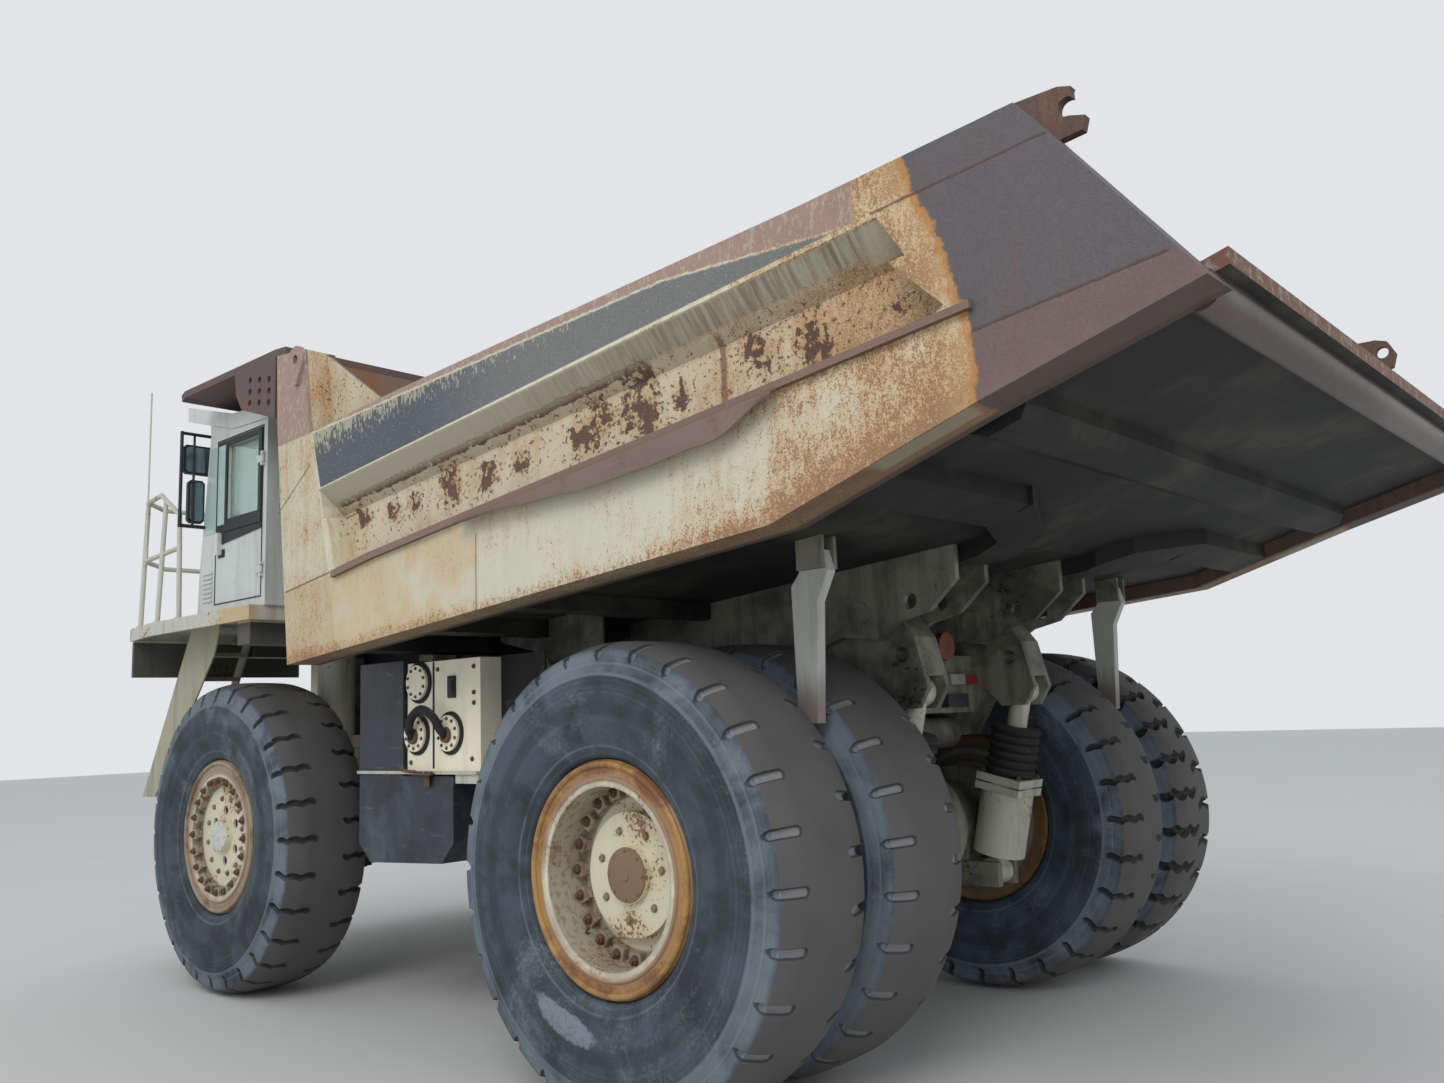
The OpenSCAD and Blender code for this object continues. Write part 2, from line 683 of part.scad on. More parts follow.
module cab_windows() {
    color([0.70, 0.85, 0.78, 0.4]) {
        intersection() {
            block([4300, 4700], [cab_in_y + win_margin, cab_out_y - win_margin], windscreen_z);
            plate_y([[4560, windscreen_z[0]], [4560 + pane_t, windscreen_z[0]], [4444 + pane_t, windscreen_z[1]],
                [4444, windscreen_z[1]]], [cab_in_y, cab_out_y]);
        }
        block([3600, 3600 + pane_t], [cab_in_y + win_margin, cab_out_y - win_margin], [3300, 3880]);
        block([3700, 4330], [cab_in_y + 20, cab_in_y + 20 + pane_t], [3250, 3880]);
    }
}

module cab_interior() {
    color([0.16, 0.16, 0.18]) {
        block([3780, 4160], [1440, 1860], [cab_floor_z, seat_z[0] - seat]);
        block([4340, 4540], [960, 2060], [cab_floor_z, 2880]);
        translate([4441, 1650, 2870]) rotate([0, -25, 0]) cylinder(r = 30, h = 515);
        translate([4230, 1650, 3330]) rotate([0, -25, 0]) cylinder(r = 190, h = 24);
    }
}

// The driver's seat: cushion, back and head rest
seat_z = [2980, 3110];
seat_y = [1400, 1900];

module cab_seat() {
    color([0.13, 0.13, 0.14]) {
        block([3740, 4240], seat_y, seat_z);
        plate_y([[3700, seat_z[1] - 40], [3820, seat_z[1] - 40], [3770, 3660], [3680, 3660]], seat_y);
        block([3690, 3760], [seat_y[0] + 110, seat_y[1] - 110], [3650, 3790]);
    }
}

module cab_door() {
    color([0.84, 0.84, 0.80]) {
        difference() {
            block(door_x, [cab_out_y - cab_wall, cab_out_y], door_z);
            block(door_win_x, [cab_out_y - cab_wall - eps, cab_out_y + eps], door_win_z);
        }
        block([4230, 4270], [cab_out_y - eps, cab_out_y + 40], [3080, 3240]);
        for (z = hinge_z)
            hinge_moving(z);
    }
}

module door_glass() {
    color([0.70, 0.85, 0.78, 0.4]) block(door_win_x, [cab_out_y - 35, cab_out_y - 35 + pane_t], door_win_z);
}

// Hand rails: posts from the deck, and the tubes between them
rail_r = 19;
rail_foot_h = 12;
rail_foot_r = 34;
front_rail_x = 5755;
// Feet and tops of the side rail's posts, in from the deck's edge
rail_foot_y = [deck_half_w - 50, deck_half_w - 50, deck_half_w - 110];
rail_top_y = [deck_half_w - 70, deck_half_w - 100, deck_half_w - 160];
rail_turn_y = deck_half_w - 320;
side_posts = [[[4810, rail_foot_y[0]], [4895, rail_top_y[0], 3480]], [[5190, rail_foot_y[1]], [5215, rail_top_y[1], 3640]],
    [[5650, rail_foot_y[2]], [5700, rail_top_y[2], 3690]]];
front_posts = [[[front_rail_x, 1420], [front_rail_x, 1420, 3650]], [[front_rail_x, 800], [front_rail_x, 800, 3650]]];
side_tubes = [[[4895, rail_top_y[0], 3470], [5215, rail_top_y[1], 3630]],
    [[5215, rail_top_y[1], 3630], [5330, rail_top_y[1] - 10, 3690]],
    [[5330, rail_top_y[1] - 10, 3690], [5700, rail_top_y[2], 3690]],
    [[4866, rail_top_y[0] + 7, 3210], [5675, rail_top_y[2] + 25, 3200]],
    [[5700, rail_top_y[2], 3690], [front_rail_x, rail_turn_y + 9, 3650]],
    [[5675, rail_top_y[2] + 25, 3200], [front_rail_x, rail_turn_y + 9, 3170]]];
front_rail_z = [3160, 3650];
antenna_r = 7;
antenna_at = [5640, rail_top_y[2] + 29];

module rail_posts(posts) {
    for (p = posts) {
        translate([p[0][0], p[0][1], deck_z]) cylinder(r = rail_foot_r, h = rail_foot_h);
        bar([p[0][0], p[0][1], deck_z + rail_foot_h - 4], p[1], rail_r);
    }
}

module side_rails() {
    $fn = 12;
    color([0.85, 0.85, 0.80]) {
        both_sides() {
            rail_posts(side_posts);
            for (t = side_tubes)
                bar(t[0], t[1], rail_r);
        }
        translate([antenna_at[0], antenna_at[1], 3170]) cylinder(r = 14, h = 130);
        translate([antenna_at[0], antenna_at[1], 3200]) cylinder(r = antenna_r, h = antenna_top_z - 3200);
    }
}

module front_rails() {
    $fn = 12;
    color([0.85, 0.85, 0.80]) {
        both_sides() rail_posts(front_posts);
        for (z = front_rail_z)
            tube_y(front_rail_x, z, rail_r, [-rail_turn_y, rail_turn_y]);
    }
}

// Stairs at both front corners, from the bumper to the deck
module ladders() {
    run = stair_high[0] - stair_low[0];
    rise = stair_high[1] - stair_low[1];
    color([0.62, 0.60, 0.50]) both_sides() {
        plate_y([[stair_low[0] - 115, stair_low[1]], [stair_low[0] + 115, stair_low[1]],
            [stair_high[0] + 115, stair_high[1]], [stair_high[0] - 347, stair_high[1]],
            [stair_high[0] - 347, stair_high[1] - 60], [stair_high[0] - 267, stair_high[1] - 240]],
            [stair_y[1] - stringer_t, stair_y[1]]);
        plate_y([[stair_low[0] - 5, stair_low[1]], [stair_low[0] + 115, stair_low[1]],
            [stair_high[0] + 115, stair_high[1]], [stair_high[0] - 5, stair_high[1]]],
            [stair_y[0], stair_y[0] + stringer_t]);
        for (i = [1:stair_count]) {
            at = i / (stair_count + 1);
            x = stair_low[0] + run * at;
            z = stair_low[1] + rise * at;
            block([x, x + stair_tread[0]], [stair_y[0] + 5, stair_y[1] - 5], [z - stair_tread[1], z]);
        }
    }
}

// Mirrors: two heads on a tube that stands off the cab's front corner
mirror_x = [4528, 4562];
mirror_tube_x = 4520;
mirror_tube_r = 12;
mirror_tube_y = 2310;
mirror_rod_y = 2215;
mirror_arm_z = 3320;
mirror_top_z = cab_top_z + 45;
mirror_corner = 22;

// A mirror head with cut corners
module mirror_head(y, z) {
    c = mirror_corner;
    plate_x([[y[0] + c, z[0]], [y[1] - c, z[0]], [y[1], z[0] + c], [y[1], z[1] - c], [y[1] - c, z[1]], [y[0] + c, z[1]],
        [y[0], z[1] - c], [y[0], z[0] + c]], mirror_x);
}

module mirrors() {
    x = mirror_tube_x;
    r = mirror_tube_r;
    color([0.08, 0.08, 0.09]) {
        mirror_head([2020, 2290], [3715, 3935]);
        mirror_head([cab_out_y + 6, cab_out_y + 130], [3348, 3672]);
        translate([x, mirror_tube_y, mirror_arm_z - r]) cylinder(r = r, h = mirror_top_z - mirror_arm_z + 2 * r);
        translate([x + 4, mirror_rod_y, mirror_arm_z]) cylinder(r = 9, h = mirror_top_z - mirror_arm_z);
        tube_y(x, mirror_top_z, r, [cab_out_y - 60, mirror_tube_y]);
        translate([x, cab_out_y - 40, mirror_top_z]) cylinder(r = r, h = roof_under(x - r) - mirror_top_z);
        block([x - r, x + r], [cab_out_y + seat, mirror_tube_y], [mirror_arm_z - r, mirror_arm_z + r]);
        translate([5380 - x, 0, 0]) right_side() {
            mirror_head([deck_half_w - 100, deck_half_w + 135], [3760, 3960]);
            block([x - r, x + 10], [deck_half_w - 85, deck_half_w - 65], [deck_z, 3950]);
        }
    }
}

module air_cleaners() {
    color([0.78, 0.76, 0.68]) {
        for (y = [1070 - deck_half_w, 570 - deck_half_w]) {
            translate([4750, y, deck_z]) cylinder(r = 200, h = 560);
            translate([4750, y, deck_z + 559]) cylinder(r = 110, h = 160);
        }
    }
}

module exhaust() {
    color([0.40, 0.33, 0.28]) {
        translate([3850, -1100, deck_z]) cylinder(r = 130, h = 500);
        translate([3850, -1100, deck_z + 499]) cylinder(r = 80, h = 350);
    }
}

module fuel_tank() {
    color([0.76, 0.73, 0.63]) {
        plate_y([[1550, 1050], [1650, 950], [2650, 950], [2750, 1050], [2750, 1800], [1550, 1800]], [-1860, -1000]);
        for (x = [1700, 2500])
            block([x, x + 100], [-1001, -rail_out_y], [1520, 1780]);
    }
}

module hydraulic_tank() {
    color([0.86, 0.84, 0.76]) {
        block([1500, 2240], [1000, 1860], [1531, 2180]);
        for (c = [[2110, 2060], [2130, 1750], [1790, 1750]])
            tube_y(c[0], c[1], 105, [1859, 1890]);
        block([1700, 2000], [rail_out_y, 1001], [1700, 1900]);
    }
}

module battery_box() {
    color([0.12, 0.16, 0.22]) {
        block([2260, 2750], [1000, 1880], [1500, 2200]);
        plate_y([[1740, 1501], [2750, 1501], [2750, 1080], [2620, 970], [1860, 1000], [1740, 1120]], [1000, 1880]);
        block([2300, 2700], [rail_out_y, 1001], [1520, 1700]);
    }
}

// Tail lamps on the cross plate between the rails, and head lamps under the deck's front edge
tail_plate_x = [-345, -300];
tail_plate_z = [1760, 2100];

module lamps() {
    back = tail_plate_x[0];
    color([0.75, 0.30, 0.15]) {
        translate([back, -130, 2150]) rotate([0, -90, 0]) cylinder(r = 85, h = 46);
        block([back - 60, back], [-290, -130], [1925, 1985]);
        block([back - 60, back], [-430, -290], [1925, 1985]);
        block([back - 50, back], [-330, -100], [1790, 1870]);
        both_sides() block([deck_front_x - 30, deck_front_x - 4], [1180, 1560], [2330, 2500]);
    }
}

// Rubber flaps ahead of the rear tyres
module mud_flaps() {
    color([0.12, 0.12, 0.12]) {
        block([1100, 1500], [1700, 1712], [1080, 2190]);
        right_side() block([1100, 1550], [1700, 1712], [1080, 1790]);
    }
}

// Dump body
tail_x = -rear_overhang;
lip_r = 72;
lip_at = [tail_x + 107, 3111];
bottom_edge = [[2740, 2200], [-1140, 2540], [-2090, 2840], [tail_x, 3080]];
side_outline = concat(bottom_edge, [[-2330, 3880], [-1360, 3815], [1560, 3680], [2510, 3620], [2600, 4180], [2940, 4210],
    [2920, 3750], [2820, 2860]]);
upright_outline = [[2740, 2200], [2820, 2860], [2920, 3750], [2940, 4210], [2600, 4180], [2490, 3420], [2370, 3210],
    [2240, 2690], [2160, 2251]];
recess_outline = [[2190, 2720], [1790, 2780], [-1940, 3190], [-2000, 3230], [-1750, 3480], [1580, 3150], [2300, 3070]];

// Height of the sides' bottom edge at a place along the body
function edge_z(x) = lookup(x, [for (p = bottom_edge) [p[0], p[1]]]);

module side_wall() {
    flush = side_y;
    difference() {
        plate_y(side_outline, [load_half_w, flush]);
        plate_y(recess_outline, [flush - recess_d, flush + eps]);
        intersection() {
            translate([-1735, flush, 3650]) rotate([0, atan2(400, 4060), 0])
                plate_x([[10, 10], [10, -200], [-recess_d, -180], [-recess_d + 2, -165]], [-300, 4600]);
            plate_y([[-1990, 3240], [-1720, 3670], [2400, 3300], [2400, 3000], [1580, 3120], [-1750, 3450]],
                [flush - recess_d - eps, flush + 20]);
        }
    }
    plate_y(upright_outline, [load_half_w, flush]);
}

// The middle part of each deflector strip, which is bent outward
flap_x = [890, -1240];
flap_w = 95;
flap_bend = 25;
function strip_z(x) = 2780 + (1790 - x) * (3210 - 2780) / (1790 + 2120) - 16;

module body_sides() {
    color([0.86, 0.80, 0.65]) both_sides() {
        side_wall();
        plate_y([[2190, 2720], [1790, 2780], [-2120, 3210], [-2120, 3180], [1790, 2740], [2190, 2680]],
            [side_y - eps, side_y + strip_out]);
        plate_y([[2590, 4160], [1880, 3690], [2560, 3600]], [load_half_w + 20, load_half_w + 60]);
        front_lug_plate();
    }
    color([0.55, 0.48, 0.42]) both_sides() translate([flap_x[0], side_y, strip_z(flap_x[0])])
        rotate([0, atan2(strip_z(flap_x[1]) - strip_z(flap_x[0]), flap_x[0] - flap_x[1]), 0]) rotate([-flap_bend, 0, 0])
            translate([flap_x[1] - flap_x[0], 0, -8]) cube([flap_x[0] - flap_x[1], flap_w, 10]);
    color([0.40, 0.26, 0.20]) {
        lift_ear(true);
        right_side() lift_ear(false);
    }
}

lift_ear_y = [load_half_w - 15, load_half_w + 25];
lift_ear_hole = [-2440, 3896];
lift_ear_r = 36;

// A lifting ear at the body's rear top corner; the left one is broken open to the rear
module lift_ear(broken) {
    difference() {
        plate_y([[-2230, 3860], [-2150, 3990], [-2294, 3987], [-2409, 3984], [-2471, 3963], [-2515, 3876],
            [-2490, 3790], [-2383, 3780]], lift_ear_y);
        tube_y(lift_ear_hole[0], lift_ear_hole[1], lift_ear_r, [lift_ear_y[0] - eps, lift_ear_y[1] + eps]);
        if (broken)
            plate_y([[lift_ear_hole[0], 3931], [-2457, 3927], [-2456, 3955], [-2478, 4010], [-2620, 4010], [-2620, 3830],
                [-2504, 3840], [lift_ear_hole[0], 3861]], [lift_ear_y[0] - eps, lift_ear_y[1] + eps]);
    }
}

// A lug with a hole on the outer face of a front upright
front_lug = [2655, 4116];
front_lug_r = 88;

module front_lug_plate() {
    y = [side_y - eps, side_y + 26];
    difference() {
        union() {
            tube_y(front_lug[0], front_lug[1], front_lug_r, y);
            plate_y([[front_lug[0] - 84, front_lug[1] - 25], [front_lug[0] - 15, front_lug[1] - 165],
                [front_lug[0] + 15, front_lug[1] - 165], [front_lug[0] + 84, front_lug[1] - 25]], y);
        }
        tube_y(front_lug[0], front_lug[1], 30, [side_y - eps, side_y + 30]);
    }
}

function floor_line(up) = [for (p = bottom_edge) [p[0], p[1] + up]];
function reversed(points) = [for (i = [len(points) - 1:-1:0]) points[i]];

module body_floor() {
    color([0.55, 0.45, 0.35]) {
        plate_y(concat(floor_line(floor_up), reversed(floor_line(floor_up + floor_t))), [-load_half_w, load_half_w]);
        tube_y(lip_at[0], lip_at[1], lip_r, [-load_half_w, load_half_w]);
    }
}

function floor_top(x) = edge_z(x) + floor_up + floor_t;
// Height of the top of the front uprights, which carries the canopy
function upright_top(x) = 4180 + (x - 2600) * 30 / 340;

module front_wall() {
    color([0.50, 0.33, 0.22]) plate_y([[2670, floor_top(2670) + seat], [2740, floor_top(2740) + seat],
        [2900, upright_top(2900)], [2830, upright_top(2830)]], [-load_half_w, load_half_w]);
}

canopy_t = 22;
canopy_hole_r = 23;

module canopy() {
    color([0.42, 0.30, 0.24]) {
        plate_y([[2830, upright_top(2830) + seat], [2960, upright_top(2960) + seat], [4300, 4222], [4350, 4200],
            [4362, 4250], [4310, 4272], [2960, 4262], [2830, 4250]], [-side_y, side_y]);
        both_sides() difference() {
            plate_y([[2960, 4230], [3530, 4230], [3500, 4060], [3420, 3950], [2960, 3800]],
                [side_y - canopy_t, side_y]);
            for (i = [0:2], k = [0:2])
                tube_y(3045 + i * 130, 3925 + i * 24 + k * 78, canopy_hole_r, [side_y - 30, side_y + eps]);
        }
    }
}

arm_y = inner_tyre_y + dual_spacing / 2;
arm_pin = [-775, 2500];
arm_pin_r = 25;
ear_y = [[410, 450], [710, 750]];
body_rail_y = [450, 710];
rail_bottom_z = rail_top_z + 35;
prop_bore = [-720, 2351];

// Height just under the floor's underside
function under(x) = edge_z(x) + floor_up - seat;

// Cross ribs between the rails and from the rails out to the sides, and their ends along the body
rib_x = [2200, 1500, 750];
rib_w = 140;
rib_d = 90;
lug_t = 25;
tail_rib_x = [-2150, -2120, -1985, -1850];
tail_rib_y = [-2000, 2100];
mid_rib_x = [-1630, -1380];
guard_y = [1390, 1406];
guard_rib_x = rib_x[1];

// A plate under the floor, whose lower outline runs from front to rear
module under_plate(low, y) {
    front = low[0][0];
    rear = low[len(low) - 1][0];
    bends = [for (p = bottom_edge) if (p[0] < front - eps && p[0] > rear + eps) [p[0], under(p[0])]];
    plate_y(concat([[front, under(front)]], low, [[rear, under(rear)]], reversed(bends)), y);
}

// A box rib under the floor, between two places along the body
module cross_rib(x, d, y) {
    under_plate([[x[1] - 20, under(x[1]) - d], [x[0] + 20, under(x[0]) - d]], y);
}

module body_rails() {
    color([0.66, 0.61, 0.50]) both_sides() {
        under_plate([[2600, rail_bottom_z + 60], [2450, rail_bottom_z], [150, rail_bottom_z], [50, 2200],
            [-60, 2480]], body_rail_y);
        for (y = ear_y) difference() {
            under_plate([[700, rail_bottom_z], [150, rail_bottom_z], [-260, 2190], [-500, 2160], [-650, 2250],
                [-830, 2290], [-1000, 2440]], y);
            tube_y(-pivot_back, pivot_z, pivot_pin_r + run_gap, [y[0] - eps, y[1] + eps]);
            tube_y(prop_bore[0], prop_bore[1], 42, [y[0] - eps, y[1] + eps]);
        }
    }
}

// Cross ribs, and the two rails that bend outward to the rib behind the pivot
module body_ribs() {
    color([0.45, 0.42, 0.38]) {
        for (x = rib_x) {
            cross_rib([x - rib_w / 2, x + rib_w / 2], rib_d, [-body_rail_y[0] + seat, body_rail_y[0] - seat]);
            both_sides() cross_rib([x - rib_w / 2, x + rib_w / 2], rib_d, [body_rail_y[1] + seat, load_half_w]);
        }
        under_plate([[tail_rib_x[3], under(tail_rib_x[3]) - 20], [tail_rib_x[2], under(tail_rib_x[2]) - 110],
            [tail_rib_x[1], under(tail_rib_x[1]) - 110], [tail_rib_x[0], under(tail_rib_x[0]) - 60]], tail_rib_y);
        both_sides() {
            cross_rib(mid_rib_x, rib_d, [1080, load_half_w]);
            intersection() {
                plate_z([[-1000, 460], [-1000, 700], [-1280, 800], [-1380, 1081], [mid_rib_x[0], 1081], [-1540, 860],
                    [-1400, 560], [-1210, 460]], [2300, 2900]);
                under_plate([[-1000, under(-1000) - rib_d], [-1140, under(-1140) - rib_d],
                    [mid_rib_x[0], under(mid_rib_x[0]) - rib_d]], [0, load_half_w]);
            }
        }
    }
}

// Lugs under the floor: for the hoist rods, for the rock ejector arms, and the rock guard plates
module body_lugs() {
    color([0.60, 0.56, 0.46]) both_sides() {
        for (y = [hoist_y - 120, hoist_y + 80])
            under_plate([[1320, 2330], [1190, 2160], [1010, 2160], [880, 2330]], [y, y + 40]);
        for (y = [arm_y - 35 - lug_t, arm_y + 35])
            under_plate([[-700, 2450], [-850, 2450]], [y, y + lug_t]);
        tube_y(arm_pin[0], arm_pin[1], arm_pin_r, [arm_y - 36, arm_y + 36]);
        difference() {
            under_plate([[1900, 2300], [1480, 2200], [1380, 2100], [950, 2100]], guard_y);
            block([guard_rib_x - rib_w / 2 - 1, guard_rib_x + rib_w / 2 + 1], [guard_y[0] - eps, guard_y[1] + eps],
                [under(guard_rib_x + rib_w / 2) - rib_d - 1, edge_z(0) + floor_up + floor_t]);
        }
    }
}

module ejector_arm() {
    color([0.72, 0.66, 0.55]) difference() {
        plate_y([[-830, 2540], [-720, 2540], [-690, 2440], [-640, 2380], [-650, 1800], [-700, 1740], [-760, 1740],
            [-790, 2300], [-860, 2440]], [arm_y - 30, arm_y + 30]);
        tube_y(arm_pin[0], arm_pin[1], arm_pin_r + run_gap, [arm_y - 31, arm_y + 31]);
    }
}

// Drawing of each sub-part, moved to the frame's origin
module at_origin() {
    translate([rear_axle_x, 0, 0]) children();
}

at_origin() frame();
at_origin() cross_members();
at_origin() bumper();
at_origin() engine_block();
at_origin() driveline();
at_origin() radiator_grille();
at_origin() hood();
at_origin() deck();
at_origin() cab_shell();
at_origin() cab_roof();
at_origin() cab_windows();
at_origin() cab_interior();
at_origin() cab_seat();
at_origin() side_rails();
at_origin() front_rails();
at_origin() ladders();
at_origin() mirrors();
at_origin() air_cleaners();
at_origin() exhaust();
at_origin() fuel_tank();
at_origin() hydraulic_tank();
at_origin() battery_box();
at_origin() mud_flaps();
at_origin() lamps();
at_origin() rear_axle();
at_origin() rear_oleos();
at_origin() rear_bellows();
at_origin() front_struts();
at_origin() body_floor();
at_origin() body_sides();
at_origin() front_wall();
at_origin() canopy();
at_origin() body_rails();
at_origin() body_ribs();
at_origin() body_lugs();
at_origin() ejector_arm();  // ejector_arm_left
at_origin() right_side() ejector_arm();  // ejector_arm_right
at_origin() front_tyre();  // front_tyre_left
at_origin() right_side() front_tyre();  // front_tyre_right
at_origin() front_wheel();  // front_wheel_left
at_origin() right_side() front_wheel();  // front_wheel_right
at_origin() rear_tyres();  // rear_tyres_left
at_origin() right_side() rear_tyres();  // rear_tyres_right
at_origin() rear_wheel();  // rear_wheel_left
at_origin() right_side() rear_wheel();  // rear_wheel_right
at_origin() knuckle();  // knuckle_left
at_origin() right_side() knuckle();  // knuckle_right
at_origin() tie_rod();
at_origin() ram_barrel();  // ram_barrel_left
at_origin() right_side() ram_barrel();  // ram_barrel_right
at_origin() ram_rod();  // ram_rod_left
at_origin() right_side() ram_rod();  // ram_rod_right
at_origin() hoist_barrels();
at_origin() hoist_stages();
at_origin() hoist_rods();
at_origin() cab_door();
at_origin() door_glass();
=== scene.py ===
"""Looks of a rigid mining dump truck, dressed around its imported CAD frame.

Lengths are metres in the CAD's own frame: +X forward, +Y left, +Z up, ground at z = 0.
Places are given from the rear axle, as in the CAD source, and at() moves them into the frame.
"""
import json
import math

import bmesh
import bpy
from mathutils import Matrix, Vector


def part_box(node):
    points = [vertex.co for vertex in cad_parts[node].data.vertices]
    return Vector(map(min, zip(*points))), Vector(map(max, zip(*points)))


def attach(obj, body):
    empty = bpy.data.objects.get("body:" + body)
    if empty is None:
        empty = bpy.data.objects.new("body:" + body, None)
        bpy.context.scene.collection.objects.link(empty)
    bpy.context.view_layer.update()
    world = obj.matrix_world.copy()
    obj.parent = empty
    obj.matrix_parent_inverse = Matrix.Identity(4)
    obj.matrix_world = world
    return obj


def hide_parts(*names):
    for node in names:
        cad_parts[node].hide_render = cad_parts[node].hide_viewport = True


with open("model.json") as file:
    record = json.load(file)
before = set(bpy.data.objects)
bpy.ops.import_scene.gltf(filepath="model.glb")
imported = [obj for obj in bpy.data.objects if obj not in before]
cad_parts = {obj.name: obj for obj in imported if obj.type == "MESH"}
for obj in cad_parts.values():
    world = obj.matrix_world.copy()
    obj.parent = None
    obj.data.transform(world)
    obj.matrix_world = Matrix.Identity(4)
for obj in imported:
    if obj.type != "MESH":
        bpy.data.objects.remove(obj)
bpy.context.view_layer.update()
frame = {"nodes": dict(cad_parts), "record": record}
NODES = frame["nodes"]
JOINTS = {joint["name"]: joint for joint in frame["record"]["behaviour"]["joints"]}

REAR_AXLE = Vector(JOINTS["rear_roll_left"]["pos_m"])
FRONT_AXLE = Vector(JOINTS["front_roll_left"]["pos_m"])
REAR_X = REAR_AXLE.x
FRONT_X = FRONT_AXLE.x
HUB_Z = REAR_AXLE.z
SIDES = (("left", 1), ("right", -1))


def at(x, y, z):
    """A place given from the rear axle, in the frame's coordinates."""
    return Vector((x + REAR_X, y, z))


# Colours

def rgb(red, green, blue):
    """A colour from its usual 0 to 255 values."""
    def linear(value):
        value /= 255
        return value / 12.92 if value <= 0.04045 else ((value + 0.055) / 1.055) ** 2.4
    return (linear(red), linear(green), linear(blue), 1.0)


CREAM = rgb(226, 219, 192)
CREAM_DULL = rgb(190, 182, 155)
CREAM_COOL = rgb(214, 209, 188)
CAB_WHITE = rgb(210, 214, 208)
DECK_PALE = rgb(206, 204, 190)
STRIPE_BLUE = rgb(79, 85, 94)
STRIPE_GREY = rgb(116, 118, 116)
RUST_DARK = rgb(96, 66, 54)
RUST_BROWN = rgb(128, 88, 68)
RUST_ORANGE = rgb(190, 128, 66)
RUST_YELLOW = rgb(206, 168, 104)
PLATE_BROWN = rgb(100, 95, 97)
PLATE_RED = rgb(124, 100, 92)
STRIP_BROWN = rgb(136, 108, 96)
RED_PATCH = rgb(160, 128, 120)
# Grime for streaks and smears, and also painted shade on faces that look down
GRIME_AND_SHADE = rgb(52, 47, 40)
DUST = rgb(150, 144, 132)
RUBBER = rgb(48, 52, 57)
RUBBER_BLUE = rgb(74, 86, 96)
RUBBER_DUST = rgb(132, 142, 150)
TREAD_BROWN = rgb(94, 92, 90)
SLATE = rgb(50, 57, 63)
RIM_GOLD = rgb(184, 140, 80)
RIM_TAN = rgb(166, 146, 120)
RIM_ROSE = rgb(158, 126, 104)
GUTTER_BROWN = rgb(154, 112, 80)
DISH_TAN = rgb(186, 174, 156)


# Nodes of materials and of the world

class Value:
    """A node's output, with the arithmetic that makes masks and tones from it."""

    def __init__(self, graph, socket):
        self.graph = graph
        self.socket = socket

    def math(self, operation, other=0.0):
        return self.graph.node("ShaderNodeMath", {0: self, 1: other}, operation=operation)

    def __add__(self, other):
        return self.math("ADD", other)

    def __sub__(self, number):
        return self.math("ADD", -number)

    def __mul__(self, other):
        return self.math("MULTIPLY", other)

    def either(self, other):
        return self.math("MAXIMUM", other)

    def absolute(self):
        return self.math("ABSOLUTE")

    def about(self, swing):
        """A noise as a swing about 0."""
        return (self - 0.5) * swing

    def step(self, low, high):
        """0 below low, 1 above high and a soft ramp between; the other way round if high is less."""
        first, last = (0.0, 1.0) if high > low else (1.0, 0.0)
        ends = {"From Min": min(low, high), "From Max": max(low, high), "To Min": first, "To Max": last}
        return self.graph.node("ShaderNodeMapRange", {"Value": self, **ends}, interpolation_type="SMOOTHSTEP")

    def band(self, low, high, edge):
        """1 between low and high."""
        return self.step(low - edge, low + edge) * self.step(high + edge, high - edge)


class Nodes:
    """The node tree of a material or a world."""

    def __init__(self, owner):
        owner.use_nodes = True
        self.tree = owner.node_tree
        self.tree.nodes.clear()

    def feed(self, socket, value):
        if isinstance(value, Value):
            self.tree.links.new(value.socket, socket)
        else:
            socket.default_value = value

    def node(self, kind, inputs=None, output=0, **settings):
        """A new node with its settings and inputs, as the value that it puts out."""
        made = self.tree.nodes.new(kind)
        for key, value in settings.items():
            setattr(made, key, value)
        for key, value in (inputs or {}).items():
            self.feed(made.inputs[key], value)
        return Value(self, made.outputs[output])

    def show(self, kind, surface):
        self.feed(self.tree.nodes.new(kind).inputs["Surface"], surface)


